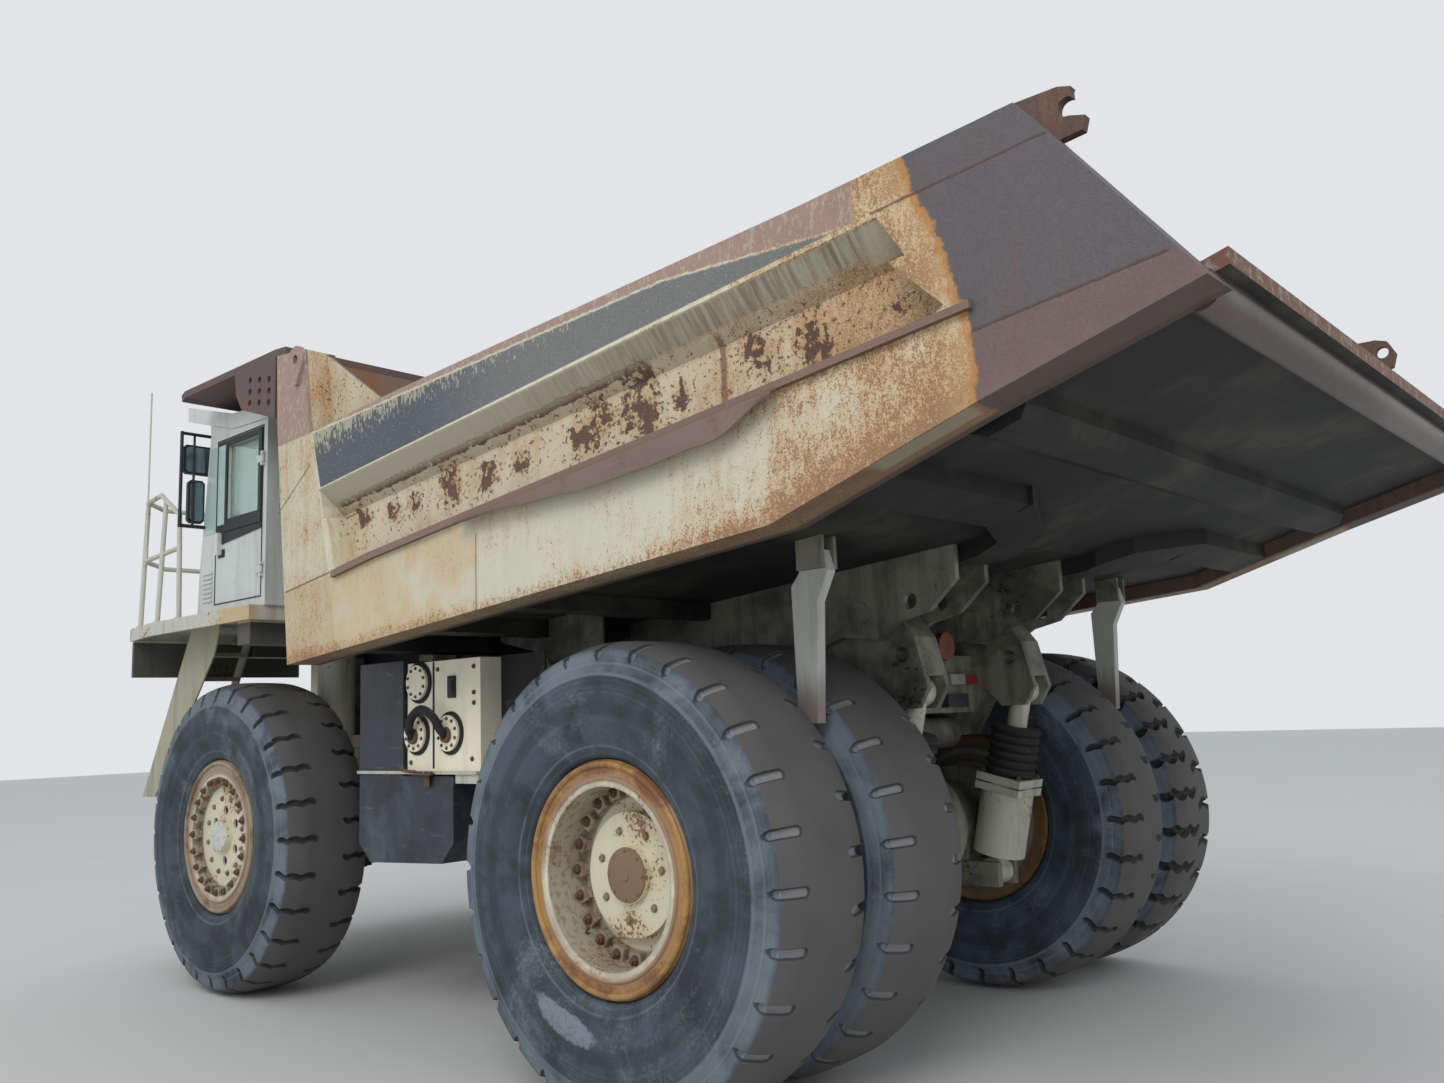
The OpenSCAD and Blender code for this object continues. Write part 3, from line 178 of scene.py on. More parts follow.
class Graph(Nodes):
    """A material, painted coat by coat."""

    def __init__(self, name, metallic=0.0):
        self.material = bpy.data.materials.new(name)
        super().__init__(self.material)
        self.shader = self.tree.nodes.new("ShaderNodeBsdfPrincipled")
        self.shader.inputs["Metallic"].default_value = metallic
        self.show("ShaderNodeOutputMaterial", Value(self, self.shader.outputs[0]))
        self.place = self.node("ShaderNodeTexCoord", output="Object")
        self.x, self.y, self.z = (self.node("ShaderNodeSeparateXYZ", {0: self.place}, i) for i in range(3))
        self.colour = None

    def noise(self, scale, detail=3.0, rough=0.55, stretch=(1, 1, 1), shift=0.0, warp=0.0):
        moved = {"Vector": self.place, "Scale": stretch, "Location": (shift, shift * 0.7, shift * 1.3)}
        inputs = {"Vector": self.node("ShaderNodeMapping", moved), "Scale": scale, "Detail": detail,
                  "Roughness": rough, "Distortion": warp}
        return self.node("ShaderNodeTexNoise", inputs)

    def mix(self, under, over, mask):
        return self.node("ShaderNodeMix", {0: mask, 6: under, 7: over}, 2, data_type="RGBA")

    def coat(self, tone, mask):
        """Lays a tone over the colour so far, where the mask says."""
        self.colour = self.mix(self.colour, tone, mask)

    def shade(self, colour, factor, amount):
        """The colour made darker or lighter as the factor leaves one half."""
        inputs = {"Color": colour, "Value": factor.about(amount) + 1.0}
        return self.node("ShaderNodeHueSaturation", inputs)

    def upward(self, low=0.35, high=0.9):
        """1 where the surface faces up, where dust lies."""
        normal = self.node("ShaderNodeNewGeometry", output="Normal")
        return self.node("ShaderNodeSeparateXYZ", {0: normal}, 2).step(low, high)

    def downward(self, low=0.3, high=0.9):
        return self.upward(-low, -high)

    def along(self, low, high):
        """A step along X, from the rear axle."""
        return self.x.step(REAR_X + low, REAR_X + high)

    def away(self, x, z):
        """Distance from a place in side view."""
        across, up = self.x - x, self.z - z
        return (across * across + up * up).math("SQRT")

    def side_line(self, line, wobble=None, swing=0.0):
        """Distance to the left of a line between two (x, z) places, with a ragged edge."""
        (x0, z0), (x1, z1) = line
        length = math.hypot(x1 - x0, z1 - z0)
        across_x, across_z = (z0 - z1) / length, (x1 - x0) / length
        value = self.x * across_x + self.z * across_z - (across_x * (x0 + REAR_X) + across_z * z0)
        return value if wobble is None else value + wobble.about(swing)

    def finish(self, roughness, height=None, distance=0.002, strength=0.5, specular=0.5):
        """Feeds the shader, with the height as bump, and gives back the material."""
        inputs = self.shader.inputs
        self.feed(inputs["Base Color"], self.colour)
        self.feed(inputs["Roughness"], roughness)
        inputs["Specular IOR Level"].default_value = specular
        if height is not None:
            raised = {"Height": height, "Distance": distance, "Strength": strength}
            self.feed(inputs["Normal"], self.node("ShaderNodeBump", raised))
        return self.material


# Finishes

def worn_paint(name, base, rust=0.3, dirt=0.5, rust_tone=RUST_BROWN, halo_tone=RUST_YELLOW, gloss=0.5,
               chips=1.0, shaded_below=None, stained_below=None, oil=0.0, yellow_behind=None):
    """Painted steel with faded patches, dirt streaks, rust chips with stained halos, dust on top, and grime
    with painted shade on faces that look down.

    It can be painted dark below a height as painted shade, or stained with rust below a height, blotched with
    old oil, and yellowed behind an x."""
    g = Graph(name)
    g.colour = g.shade(base, g.noise(1.3, 4), 0.28)
    g.colour = g.shade(g.colour, g.noise(11.0, 3), 0.12)
    streaks = g.noise(9.0, 4, 0.6, stretch=(1, 1, 0.09))
    g.coat(GRIME_AND_SHADE, streaks.step(0.48, 0.75) * dirt * 0.55)
    cloud = g.noise(1.9, 5, 0.62, shift=3.0)
    speck = g.noise(34.0, 3, 0.6, shift=8.0)
    field = cloud * 0.6 + speck * 0.4
    more = 0.10 * rust
    chip = field.step(0.66 - more, 0.675 - more)
    g.coat(halo_tone, field.step(0.60 - more, 0.69 - more) * (0.75 * min(1.0, chips)))
    g.coat(g.shade(rust_tone, g.noise(60.0, 2), 0.6), chip * chips)
    g.coat(DUST, g.upward() * g.noise(3.0, 4, shift=5.0).step(0.25, 0.7) * 0.55)
    # Grime with painted shade on faces that look down
    g.coat(GRIME_AND_SHADE, g.downward() * g.noise(2.2, 4, shift=9.0) * (0.8 * dirt))
    if oil:
        less = 0.1 * oil
        spread = g.noise(3.2, 5, 0.62, shift=21.0).step(0.50 - less, 0.76 - less)
        g.coat(rgb(42, 39, 35), spread * 0.72)
    if yellow_behind is not None:
        behind = g.x.step(yellow_behind + 0.08, yellow_behind - 0.08)
        g.coat(rgb(204, 172, 116), behind * g.y.step(2.12, 2.19) * cloud.step(0.25, 0.5) * 0.75)
    # Painted shade: dark below the given height
    if shaded_below is not None:
        g.coat(rgb(52, 51, 48), g.z.step(shaded_below, shaded_below - 0.01) * 0.9)
    if stained_below is not None:
        ragged = g.z + streaks.about(0.35)
        g.coat(rgb(122, 104, 92), ragged.step(stained_below, stained_below - 0.25) * 0.8)
    return g.finish(chip * 0.3 + gloss + speck * 0.15, chip * -0.6 + speck * 0.4, 0.004, 0.6)


# Rust on the body's sides, from the rear axle: blotches as x, z and reach, and weld lines
RUST_BLOTCHES = [(-1.27, 3.34, 0.055), (-1.73, 3.33, 0.022), (0.90, 3.09, 0.055), (1.24, 3.09, 0.065),
                 (0.12, 3.15, 0.070), (0.01, 3.22, 0.060), (-0.28, 3.20, 0.085), (-1.04, 3.30, 0.060),
                 (-1.32, 3.25, 0.045), (-0.95, 3.35, 0.035), (2.11, 3.04, 0.045), (1.58, 3.05, 0.040),
                 (1.79, 3.04, 0.045), (0.62, 3.12, 0.040), (-0.53, 3.23, 0.040), (-0.32, 3.36, 0.050)]
SIDE_WELDS = [((-2.46, 3.73), (-1.71, 3.67)), ((-2.82, 3.19), (-2.11, 3.105)), ((2.50, 3.41), (2.86, 3.18)),
              ((2.25, 2.72), (2.78, 2.65))]
UPRIGHT_WELD = (0.81, 2.36, 2.76)
# Edges of the body's panels in side view
FOLD_FOOT = ((-1.65, 3.54), (2.36, 3.13))
FOLD_TOP = ((-1.52, 3.65), (2.37, 3.25))
STRIPE_FRONT = ((2.37, 3.25), (2.47, 3.60))
TOP_RAIL = (((-1.52, 3.652), (-0.51, 3.722)), ((-0.51, 3.715), (2.47, 3.605)))


def body_side_paint():
    """The dump body's sides: cream over rust, slate stripe, bare rear plates and worn strips.

    The distance from the middle tells the recess (2.26) from the skin (2.37) and the strips (2.40)."""
    g = Graph("body_side_paint")
    fine = g.noise(26.0, 4, 0.62)
    coarse = g.noise(3.2, 5, 0.6, shift=2.0)
    streak = g.noise(16.0, 4, 0.6, stretch=(1, 1, 0.10), shift=4.0)
    speck = g.noise(62.0, 3, 0.55, stretch=(1, 1, 0.4), shift=11.0)
    grit = g.noise(130.0, 2, 0.5, shift=5.0)
    outward = g.y.absolute()
    skin = outward.step(2.36, 2.37)
    g.colour = g.shade(CREAM, g.noise(1.1, 4), 0.16)
    g.coat(CREAM_DULL, streak.step(0.42, 0.72) * 0.5)

    # Whiter lower panel, with a yellow stain ahead of its front weld
    below_strip = g.side_line(((-2.11, 3.09), (2.15, 2.72))).step(0.01, -0.02)
    g.coat(g.shade(CREAM_COOL, coarse, 0.15), below_strip * 0.8)
    g.coat(RUST_YELLOW, below_strip * g.along(0.75, 0.85) * coarse.step(0.28, 0.55) * 0.5)

    # Fine rust bloom that thickens towards the tail and the edges
    rearward = g.along(-0.2, -1.9)
    front_edge = g.side_line(((-1.14, 2.54), (2.74, 2.20)), fine, 0.08).step(0.10, 0.0)
    rear_edge = g.side_line(((-2.93, 3.08), (-1.14, 2.54)), fine, 0.08).step(0.16, 0.0)
    lower_edge = front_edge.either(rear_edge)
    upright = g.side_line(((2.16, 2.25), (2.60, 4.18))).step(0.01, -0.01)
    g.coat(CREAM_DULL, upright * 0.45)
    stain = rearward * 0.34 + lower_edge * 0.14 + upright * 0.12 + coarse.about(0.8) + streak.about(0.5)
    g.coat(rgb(204, 172, 126), stain.step(-0.02, 0.42) * 0.75)
    density = rearward * 0.17 + lower_edge * 0.13 + upright * 0.05 + coarse.about(0.35)
    grains = speck * 0.35 + grit * 0.55 + streak * 0.10
    bloom = (grains + density).step(0.55, 0.68)
    g.coat(rgb(186, 136, 86), bloom * 0.65)
    deep = (grains + density * 0.8).step(0.635, 0.70)
    g.coat(g.shade(RUST_BROWN, grit, 0.5), deep * 0.6)

    # The fold above the recess, greyer and streaked towards the tail
    fold = g.side_line(FOLD_FOOT).step(-0.01, 0.01) * g.side_line(FOLD_TOP).step(0.01, -0.01)
    runs = g.noise(46.0, 3, 0.55, stretch=(1, 0.1, 0.03), shift=14.0)
    streaked = g.along(1.4, -1.2) * runs.step(0.30, 0.74)
    g.coat(g.mix(rgb(206, 197, 176), rgb(148, 132, 112), streaked), fold * outward.step(2.388, 2.38))

    # Recess: brown blotches in clusters, specks round them and a ragged rust line under the fold
    recessed = outward.step(2.35, 2.26)
    g.coat(rgb(194, 156, 114), recessed * (coarse * 0.5 + 0.10))
    warp = g.noise(13.0, 5, 0.68, shift=17.0, warp=0.3) * 0.8 + fine * 0.2
    clusters = 0.0
    for x, z, reach in RUST_BLOTCHES:
        clusters = g.away(REAR_X + x, z).step(3.3 * reach, 0.3 * reach).either(clusters)
    blotches = (clusters * 0.19 + warp).step(0.655, 0.670)
    band = g.side_line(((-1.90, 3.28), (2.20, 2.86))).step(-0.09, 0.02) * recessed
    halo = (clusters * 0.42 + fine * 0.5 + coarse * 0.3).step(0.50, 0.86)
    g.coat(rgb(192, 152, 104), recessed * halo * 0.75)
    scatter = g.noise(40.0, 4, 0.66, shift=27.0)
    flecks = (scatter + clusters * 0.07 + band * 0.03 + coarse.about(0.1)).step(0.635, 0.655)
    g.coat(RUST_DARK, recessed * flecks * 0.85)
    g.coat(g.shade(RUST_DARK, grit, 0.5), recessed * blotches * 0.95)
    seam = g.side_line(((-1.65, 3.535), (2.36, 3.135)), warp, 0.05).absolute().step(0.020, 0.012)
    seam = seam * g.x.band(REAR_X - 0.38, REAR_X + 2.30, 0.03) * fine.step(0.34, 0.42)
    g.coat(RUST_DARK, seam * outward.step(2.32, 2.28))
    bar = (g.x + fine.about(0.03)).band(REAR_X - 0.82, REAR_X - 0.785, 0.004)
    g.coat(RUST_BROWN, bar * g.z.band(3.10, 3.44, 0.02) * recessed * 0.8)

    # Slate stripe under the top rail, tapering to the rear, and the faded red band above it
    under_rear, under_front = (g.side_line(line, fine, 0.02).step(0.006, -0.006) for line in TOP_RAIL)
    stripe = g.side_line(FOLD_TOP).step(-0.003, 0.003) * (under_rear * under_front) * skin
    stripe_tone = g.mix(STRIPE_BLUE, g.shade(STRIPE_GREY, grit, 0.7), g.along(1.5, 0.3))
    worn_edge = (g.side_line(((-1.52, 3.60), (2.37, 3.20))) * 1.3 + speck * 0.8).step(0.80, 0.86)
    stripe_tone = g.mix(stripe_tone, CREAM_DULL, worn_edge * 0.8)
    stripe_tone = g.mix(stripe_tone, CREAM_DULL, g.noise(120.0, 3, 0.5, shift=31.0).step(0.62, 0.72) * 0.8)
    g.coat(stripe_tone, stripe * g.side_line(STRIPE_FRONT).step(-0.004, 0.004))
    over_rear, over_front = (g.side_line(line, fine, 0.03).step(0.004, 0.016) for line in TOP_RAIL)
    red = over_rear.either(over_front) * skin * (g.x + fine * 0.1).step(REAR_X - 1.60, REAR_X - 1.56)
    g.coat(g.mix(g.shade(RED_PATCH, grit, 0.6), CREAM_DULL, speck.step(0.52, 0.62) * 0.6), red * 0.9)

    # Bare rear plates behind a ragged orange edge
    ragged = g.noise(3.4, 5, 0.6, shift=6.0) * 0.75 + fine * 0.25
    slant = g.side_line(((-1.87, 3.80), (-2.10, 3.10)), ragged, 0.20)
    edge = slant.math("MINIMUM", g.x - (REAR_X - 2.09) + ragged.about(0.14))
    bare = edge.step(0.0, -0.018)
    g.coat(rgb(202, 166, 116), edge.step(0.17, 0.0) * (speck * 0.5 + fine * 0.5).step(0.36, 0.56) * 0.7)
    end_slope = outward.band(2.275, 2.380, 0.006) * g.along(-1.60, -1.66)
    g.coat(rgb(208, 198, 170), end_slope * 0.8)
    g.coat(RUST_ORANGE, edge.step(0.030, 0.004) * 0.75)
    stain = g.noise(5.0, 4, 0.6, stretch=(1, 1, 0.15), shift=13.0)
    plate = g.mix(g.shade(PLATE_BROWN, coarse, 0.35), RUST_BROWN, stain.step(0.55, 0.75) * 0.5)
    low_plate = g.side_line(((-2.82, 3.19), (-2.11, 3.10))).step(0.0, -0.01)
    g.coat(g.mix(plate, g.shade(PLATE_RED, coarse, 0.35), low_plate * 0.75), bare)

    # Weld lines
    welds = 0.0
    for first, second in map(sorted, SIDE_WELDS):
        line = g.side_line((first, second), fine, 0.012).absolute().step(0.007, 0.003)
        welds = (line * g.x.band(REAR_X + first[0], REAR_X + second[0], 0.006)).either(welds)
    x, foot, top = UPRIGHT_WELD
    line = (g.x + fine.about(0.01)).band(REAR_X + x - 0.004, REAR_X + x + 0.004, 0.003)
    welds = (line * g.z.band(foot, top, 0.01)).either(welds) * skin
    g.coat(RUST_DARK, welds * 0.75)

    # Deflector strips, top faces, the rusted inside, and grime with painted shade on faces that look down
    g.coat(g.shade(STRIP_BROWN, coarse, 0.4), outward.step(2.394, 2.398) * g.along(2.35, 2.25))
    inside = outward.step(2.236, 2.20)
    scoured = g.mix(g.shade(rgb(108, 84, 74), coarse, 0.5), rgb(132, 98, 70), streak.step(0.5, 0.7) * 0.6)
    g.coat(scoured, inside.either(g.upward(0.8, 0.95) * 0.9))
    # Grime with painted shade on faces that look down
    g.coat(GRIME_AND_SHADE, g.downward(0.4, 0.9) * 0.5)
    height = deep * -0.3 + fine * 0.25 + recessed * blotches * -0.8 + recessed * flecks * -0.5
    height = height + welds * 0.9 + seam * -0.8
    return g.finish(bloom * 0.15 + 0.52 + bare * 0.04 + inside * 0.1, height, 0.006, 0.7)


def bare_steel(name, base, rust_tone=RUST_BROWN, rust=0.5, metallic=0.2, roughness=0.55):
    """Dark bare or burnt plate with rust clouds, scratches and stains."""
    g = Graph(name, metallic)
    cloud = g.noise(2.4, 5, 0.62, warp=0.3)
    grain = g.noise(45.0, 3, 0.6, shift=3.0)
    g.colour = g.shade(base, g.noise(1.1, 3, shift=7.0), 0.35)
    g.coat(g.shade(rust_tone, grain, 0.7), (cloud + grain * 0.2).step(0.72 - 0.3 * rust, 0.92 - 0.3 * rust))
    g.coat(DUST, g.noise(6.0, 3, 0.6, stretch=(0.3, 6, 6), shift=5.0).step(0.66, 0.72) * 0.25)
    g.coat(DUST, g.upward() * cloud.step(0.35, 0.65) * 0.4)
    return g.finish(grain * 0.25 + roughness, grain, 0.003)


def scuffed_slate():
    """Dark slate boxes with pale rubbed clouds, scratches, black smears and dust on top."""
    g = Graph("slate_paint_scuffed")
    cloud = g.noise(1.7, 5, 0.66, warp=0.8)
    streak = g.noise(7.0, 4, 0.6, stretch=(1, 1, 0.12), shift=3.0)
    grain = g.noise(60.0, 3, 0.6, shift=6.0)
    rubbed = (cloud * 0.7 + streak * 0.3).step(0.49, 0.66)
    g.colour = g.shade(SLATE, cloud, 0.5)
    g.coat(rgb(98, 110, 119), rubbed * 0.55)
    g.coat(RUBBER_DUST, g.noise(11.0, 4, 0.7, stretch=(0.3, 1, 2.5), shift=11.0).step(0.60, 0.70) * 0.35)
    g.coat(rgb(27, 28, 29), g.noise(2.4, 5, 0.66, shift=17.0).step(0.50, 0.68) * 0.6)
    g.coat(DUST, g.upward() * cloud.step(0.3, 0.6) * 0.5)
    return g.finish(grain * 0.2 + 0.38 + rubbed * 0.15, grain)


def floor_under_paint():
    """The floor's underside: old grey paint, dark olive to near black with grime and painted shade, and the
    rusty rolled lip at the tail.
    """
    g = Graph("floor_under_paint")
    cloud = g.noise(1.4, 5, 0.6)
    grain = g.noise(22.0, 3, 0.6)
    smear = g.noise(5.0, 4, 0.6, stretch=(0.25, 1, 1), shift=4.0)
    # Dark olive and near-black tones: grime, and painted shade of the underside
    g.colour = g.mix(rgb(68, 64, 48), rgb(28, 27, 28), cloud.step(0.30, 0.56))
    g.coat(rgb(22, 22, 23), smear.step(0.42, 0.68) * 0.8)
    lip = g.away(REAR_X - 2.823, 3.111).step(0.078, 0.074)
    # The lip: brown, with paler grey-brown streaks along it as a painted sheen
    lip_sheen = g.noise(3.0, 4, stretch=(1, 0.3, 1), shift=8.0).step(0.4, 0.7)
    g.coat(g.mix(rgb(82, 67, 60), rgb(108, 97, 91), lip_sheen), lip)
    scoured = g.mix(g.shade(RUST_BROWN, cloud, 0.5), DUST, grain.step(0.45, 0.7))
    tail_plate = g.along(-2.55, -2.65) * (g.downward(0.0, 0.3) * -1.0 + 1.0)
    g.coat(scoured, g.upward().either(tail_plate) * lip.step(1.0, 0.5))
    return g.finish(lip * -0.28 + 0.7, grain, 0.004)


def tyre_rubber(name, centre_x, dusty_slots):
    """Old rubber: blue-grey dusty sidewalls with scuffs, a brown-grey tread and dust in the slots."""
    g = Graph(name)
    radius = g.away(centre_x, HUB_Z)
    up = g.z - HUB_Z
    cloud = g.noise(2.8, 5, 0.62, warp=0.5)
    grain = g.noise(70.0, 3, 0.6)
    rings = g.node("ShaderNodeTexNoise", {"W": radius, "Scale": 46.0, "Detail": 2.0}, noise_dimensions="1D")

    # Sidewall: moulded rings, scuffs, dull rings and one long scrape low on the left
    g.colour = g.mix(RUBBER, RUBBER_BLUE, cloud.step(0.30, 0.62))
    rubbed = radius.step(0.80, 0.93) * 0.7 + radius.band(0.56, 0.61, 0.02) * 0.5
    g.coat(RUBBER_DUST, rings.step(0.48, 0.74) * rubbed * 0.75)
    scuff = (g.noise(1.7, 5, 0.66, shift=9.0, warp=0.8) * 0.75 + grain * 0.25).step(0.50, 0.66)
    g.coat(RUBBER_DUST, scuff * 0.55)
    g.coat(RUBBER, g.noise(6.0, 4, 0.6, shift=15.0).step(0.50, 0.72) * 0.7)
    g.coat(RUBBER, radius.band(0.735, 0.80, 0.012) * 0.45)
    along = (g.x - centre_x - 0.24) * 0.93 + (up + 0.64) * 0.37
    across = radius - 0.70
    scrape = (along * along * 0.07 + across * across).math("SQRT")
    scrape = (scrape + g.noise(9.0, 5, 0.7, shift=6.0).about(0.06)).step(0.062, 0.050)
    scrape = scrape * g.y.step(2.20, 2.26) * up.step(-0.1, -0.2) * grain.step(0.05, 0.55)
    g.coat(RUBBER_DUST, scrape * 0.9)
    g.coat(RUBBER_DUST, radius.band(0.925, 1.03, 0.02) * cloud.step(0.2, 0.6) * 0.6)

    # Tread: brown-grey, painted shade on the slot walls, and slot floors dusty or dark
    tread = g.shade(TREAD_BROWN, g.noise(3.0, 4, shift=3.0), 0.45)
    g.coat(g.shade(tread, grain, 0.25), radius.step(1.034, 1.040))
    groove = g.node("ShaderNodeAttribute", output="Fac", attribute_name="groove")
    # Painted shade: the slots' upper walls darkened
    g.coat(rgb(40, 39, 38), groove.band(0.10, 0.55, 0.06) * 0.6)
    dusty = groove.step(0.50, 0.85) * g.y.step(-0.1, 0.1) * dusty_slots
    g.coat(rgb(146, 149, 150), dusty * (cloud * 0.4 + 0.6))
    g.coat(rgb(44, 43, 42), groove.step(0.30, 0.90) * g.y.step(0.1, -0.1).either(1.0 - dusty_slots) * 0.8)
    return g.finish(grain * 0.2 + 0.64, grain * 0.5 + rings * rubbed * 0.7, 0.004, 0.55, 0.35)


def wheel_paint(name, centre_x, flange_tone, flange_rust, gutter_tone, dish_tone):
    """A wheel painted cream: rusted flange, chipped hub, and rust round the wedges."""
    g = Graph(name)
    radius = g.away(centre_x, HUB_Z)
    cloud = g.noise(3.4, 4, 0.6, warp=0.4)
    grain = g.noise(52.0, 3, 0.6, shift=2.0)
    g.colour = g.shade(CREAM, g.noise(2.0, 3, shift=6.0), 0.3)
    g.coat(RUST_YELLOW, cloud.step(0.45, 0.7) * 0.45)
    chips = (cloud * 0.5 + grain * 0.5).step(0.575, 0.60)
    g.coat(RUST_BROWN, chips * 0.85)
    wedge_ring = radius.band(0.350, 0.412, 0.008)
    g.coat(rgb(96, 80, 68), wedge_ring * 0.6)
    blots = g.noise(30.0, 4, 0.65, shift=12.0).step(0.48, 0.62)
    g.coat(g.shade(RUST_BROWN, grain, 0.7), wedge_ring * blots * 0.7)
    dish = radius.step(0.405, 0.415) * g.noise(8.0, 4, 0.6, stretch=(1, 4, 1), shift=3.0).step(0.30, 0.62)
    g.coat(dish_tone, dish * 0.8)
    ragged = radius + cloud.about(0.03)
    g.coat(g.shade(gutter_tone, grain, 0.4), ragged.step(0.430, 0.450) * 0.85)
    flange = ragged.step(0.462, 0.474)
    rusted = (cloud + grain * 0.2).step(0.5, 0.75)
    g.coat(g.mix(g.shade(flange_tone, cloud, 0.5), flange_rust, rusted), flange)
    # Darker deep in the wheel, towards the truck's middle
    g.coat(GRIME_AND_SHADE, g.y.absolute().step(1.86, 1.70) * 0.6)
    roughness = chips * 0.3 + 0.5 + grain * 0.12 + flange * -0.14
    return g.finish(roughness, chips * -0.5 + grain * 0.4, 0.003, 0.6)


def plain_finish(name, base, roughness=0.6, metallic=0.0, swing=0.35, dust=0.35, scale=9.0):
    """Rubber, plastic or plain steel: a colour with mottling, dust on top and a fine grain."""
    g = Graph(name, metallic)
    cloud = g.noise(scale * 0.3, 4, 0.6)
    grain = g.noise(scale * 8, 3, 0.6, shift=4.0)
    g.colour = g.shade(g.shade(base, cloud, swing), grain, swing * 0.5)
    g.coat(DUST, g.upward() * cloud.step(0.3, 0.7) * dust)
    g.coat(DUST, g.noise(scale, 4, 0.6, shift=7.0).step(0.58, 0.8) * (dust * 0.6))
    return g.finish(grain * 0.15 + roughness, grain, 0.002, 0.4)


def lamp_lenses():
    """Tail lamps by place: rusty round lamp, clear and red lenses, dark box; clear head lamps ahead."""
    g = Graph("lamp_lenses")
    grain = g.noise(60.0, 3, 0.6)
    cloud = g.noise(7.0, 4, 0.6, shift=3.0)
    lens_height = g.z.band(1.92, 1.99, 0.002)
    g.colour = g.shade(rgb(132, 70, 52), cloud, 0.5)
    g.coat(rgb(132, 36, 32), lens_height * g.y.step(-0.288, -0.292))
    g.coat(rgb(150, 152, 148), lens_height * g.y.step(-0.292, -0.288))
    g.coat(rgb(44, 48, 54), g.z.step(1.90, 1.88))
    g.coat(rgb(206, 208, 202), g.x.step(0.0, 0.1))
    g.coat(GRIME_AND_SHADE, cloud.step(0.45, 0.7) * 0.5)
    ribs = g.node("ShaderNodeTexWave", {"Vector": g.place, "Scale": 30.0}, 1, bands_direction="Y")
    return g.finish(grain * 0.2 + 0.25, ribs)


def glass_finish(name, tint):
    """Green tinted glass, smeared with dust."""
    g = Graph(name)
    smear = g.noise(3.0, 4, 0.6, stretch=(1, 1, 0.4))
    g.colour = g.mix(tint, DUST, smear.step(0.5, 0.8) * 0.35)
    for socket, value in (("Transmission Weight", 0.75), ("IOR", 1.45), ("Alpha", 0.62)):
        g.shader.inputs[socket].default_value = value
    return g.finish(smear * 0.10 + 0.04)


FINISHES = {
    "body_side": body_side_paint(),
    "floor": floor_under_paint(),
    "cream": worn_paint("cream_paint_worn", CREAM, rust=0.35),
    # The tank's cream is painted lighter than the other cream: painted light, where the tank sits in shade
    # under the body
    "tank": worn_paint("tank_paint_lightened", rgb(252, 244, 218), dirt=0.2),
    "flap": bare_steel("bent_flap_steel", rgb(140, 118, 108), rgb(118, 88, 74), rust=0.45),
    "cream_grimy": worn_paint("cream_paint_grimy", rgb(202, 199, 184), dirt=0.8),
    # The deck is painted dark below its top as painted shade
    "deck": worn_paint("deck_paint", DECK_PALE, rust=0.45, dirt=0.6, shaded_below=2.555,
                       yellow_behind=REAR_X + 4.05),
    "stair": worn_paint("stair_paint", rgb(176, 170, 148), rust=0.4, dirt=0.8),
    "frame": worn_paint("frame_paint_grimy", rgb(140, 138, 122), rust=0.2, dirt=1.0, rust_tone=GRIME_AND_SHADE,
                        halo_tone=rgb(104, 96, 80), oil=0.9),
    "cab": worn_paint("cab_paint_worn", CAB_WHITE, rust=0.0, dirt=0.35, gloss=0.38, chips=0.8),
    "canopy": bare_steel("canopy_steel", rgb(104, 88, 84), rust=0.4),
    "front_wall": bare_steel("front_wall_steel", rgb(136, 112, 94), rgb(146, 102, 72), rust=0.6),
    "slate": scuffed_slate(),
    "iron": plain_finish("cast_iron_dirty", rgb(60, 60, 58), 0.65, 0.3),
    "rear_tyre": tyre_rubber("rear_tyre_rubber", REAR_X, 1.0),
    "front_tyre": tyre_rubber("front_tyre_rubber", FRONT_X, 0.0),
    "rear_wheel": wheel_paint("rear_wheel_paint", REAR_X, RIM_GOLD, rgb(132, 88, 58), GUTTER_BROWN, DISH_TAN),
    "front_wheel": wheel_paint("front_wheel_paint", FRONT_X, RIM_TAN, rgb(124, 98, 78), RIM_ROSE, CREAM_DULL),
    "nut": bare_steel("rusty_nuts", rgb(104, 82, 66), RUST_DARK, metallic=0.1),
    "plastic": plain_finish("black_plastic", rgb(28, 29, 31), 0.45, dust=0.2),
    "rubber": plain_finish("black_rubber", rgb(34, 34, 35), 0.7),
    "chrome": plain_finish("hard_chrome", rgb(180, 180, 178), 0.18, 1.0, swing=0.1, dust=0.1),
    "rail": worn_paint("rail_paint_worn", DECK_PALE, dirt=0.3),
    "exhaust": bare_steel("exhaust_rust", rgb(92, 66, 52), rust=0.9),
    "wedge": bare_steel("chipped_wedges", rgb(176, 160, 136), rust=0.55, metallic=0.1),
    "nut_cream": bare_steel("chipped_bolts", rgb(150, 134, 112), metallic=0.1),
    "front_cap": worn_paint("hub_cap_paint", rgb(214, 212, 204), rust=0.5, dirt=0.3),
    "rear_cap": bare_steel("hub_cap_rust", rgb(142, 114, 90), RUST_DARK, rust=0.45, metallic=0.1),
    "pane": plain_finish("quarter_glass", rgb(176, 198, 190), 0.12, swing=0.15, dust=0.1),
    "mirror": plain_finish("mirror_glass", rgb(120, 136, 142), 0.08, 0.85, swing=0.1, dust=0.1),
    "lamps": lamp_lenses(),
    "glass": glass_finish("cab_glass_green", rgb(196, 226, 214)),
    "seat": plain_finish("seat_fabric", rgb(38, 40, 44), 0.85, dust=0.1),
    "arm": worn_paint("arm_paint", rgb(200, 202, 194), rust=0.15, stained_below=2.05),
}

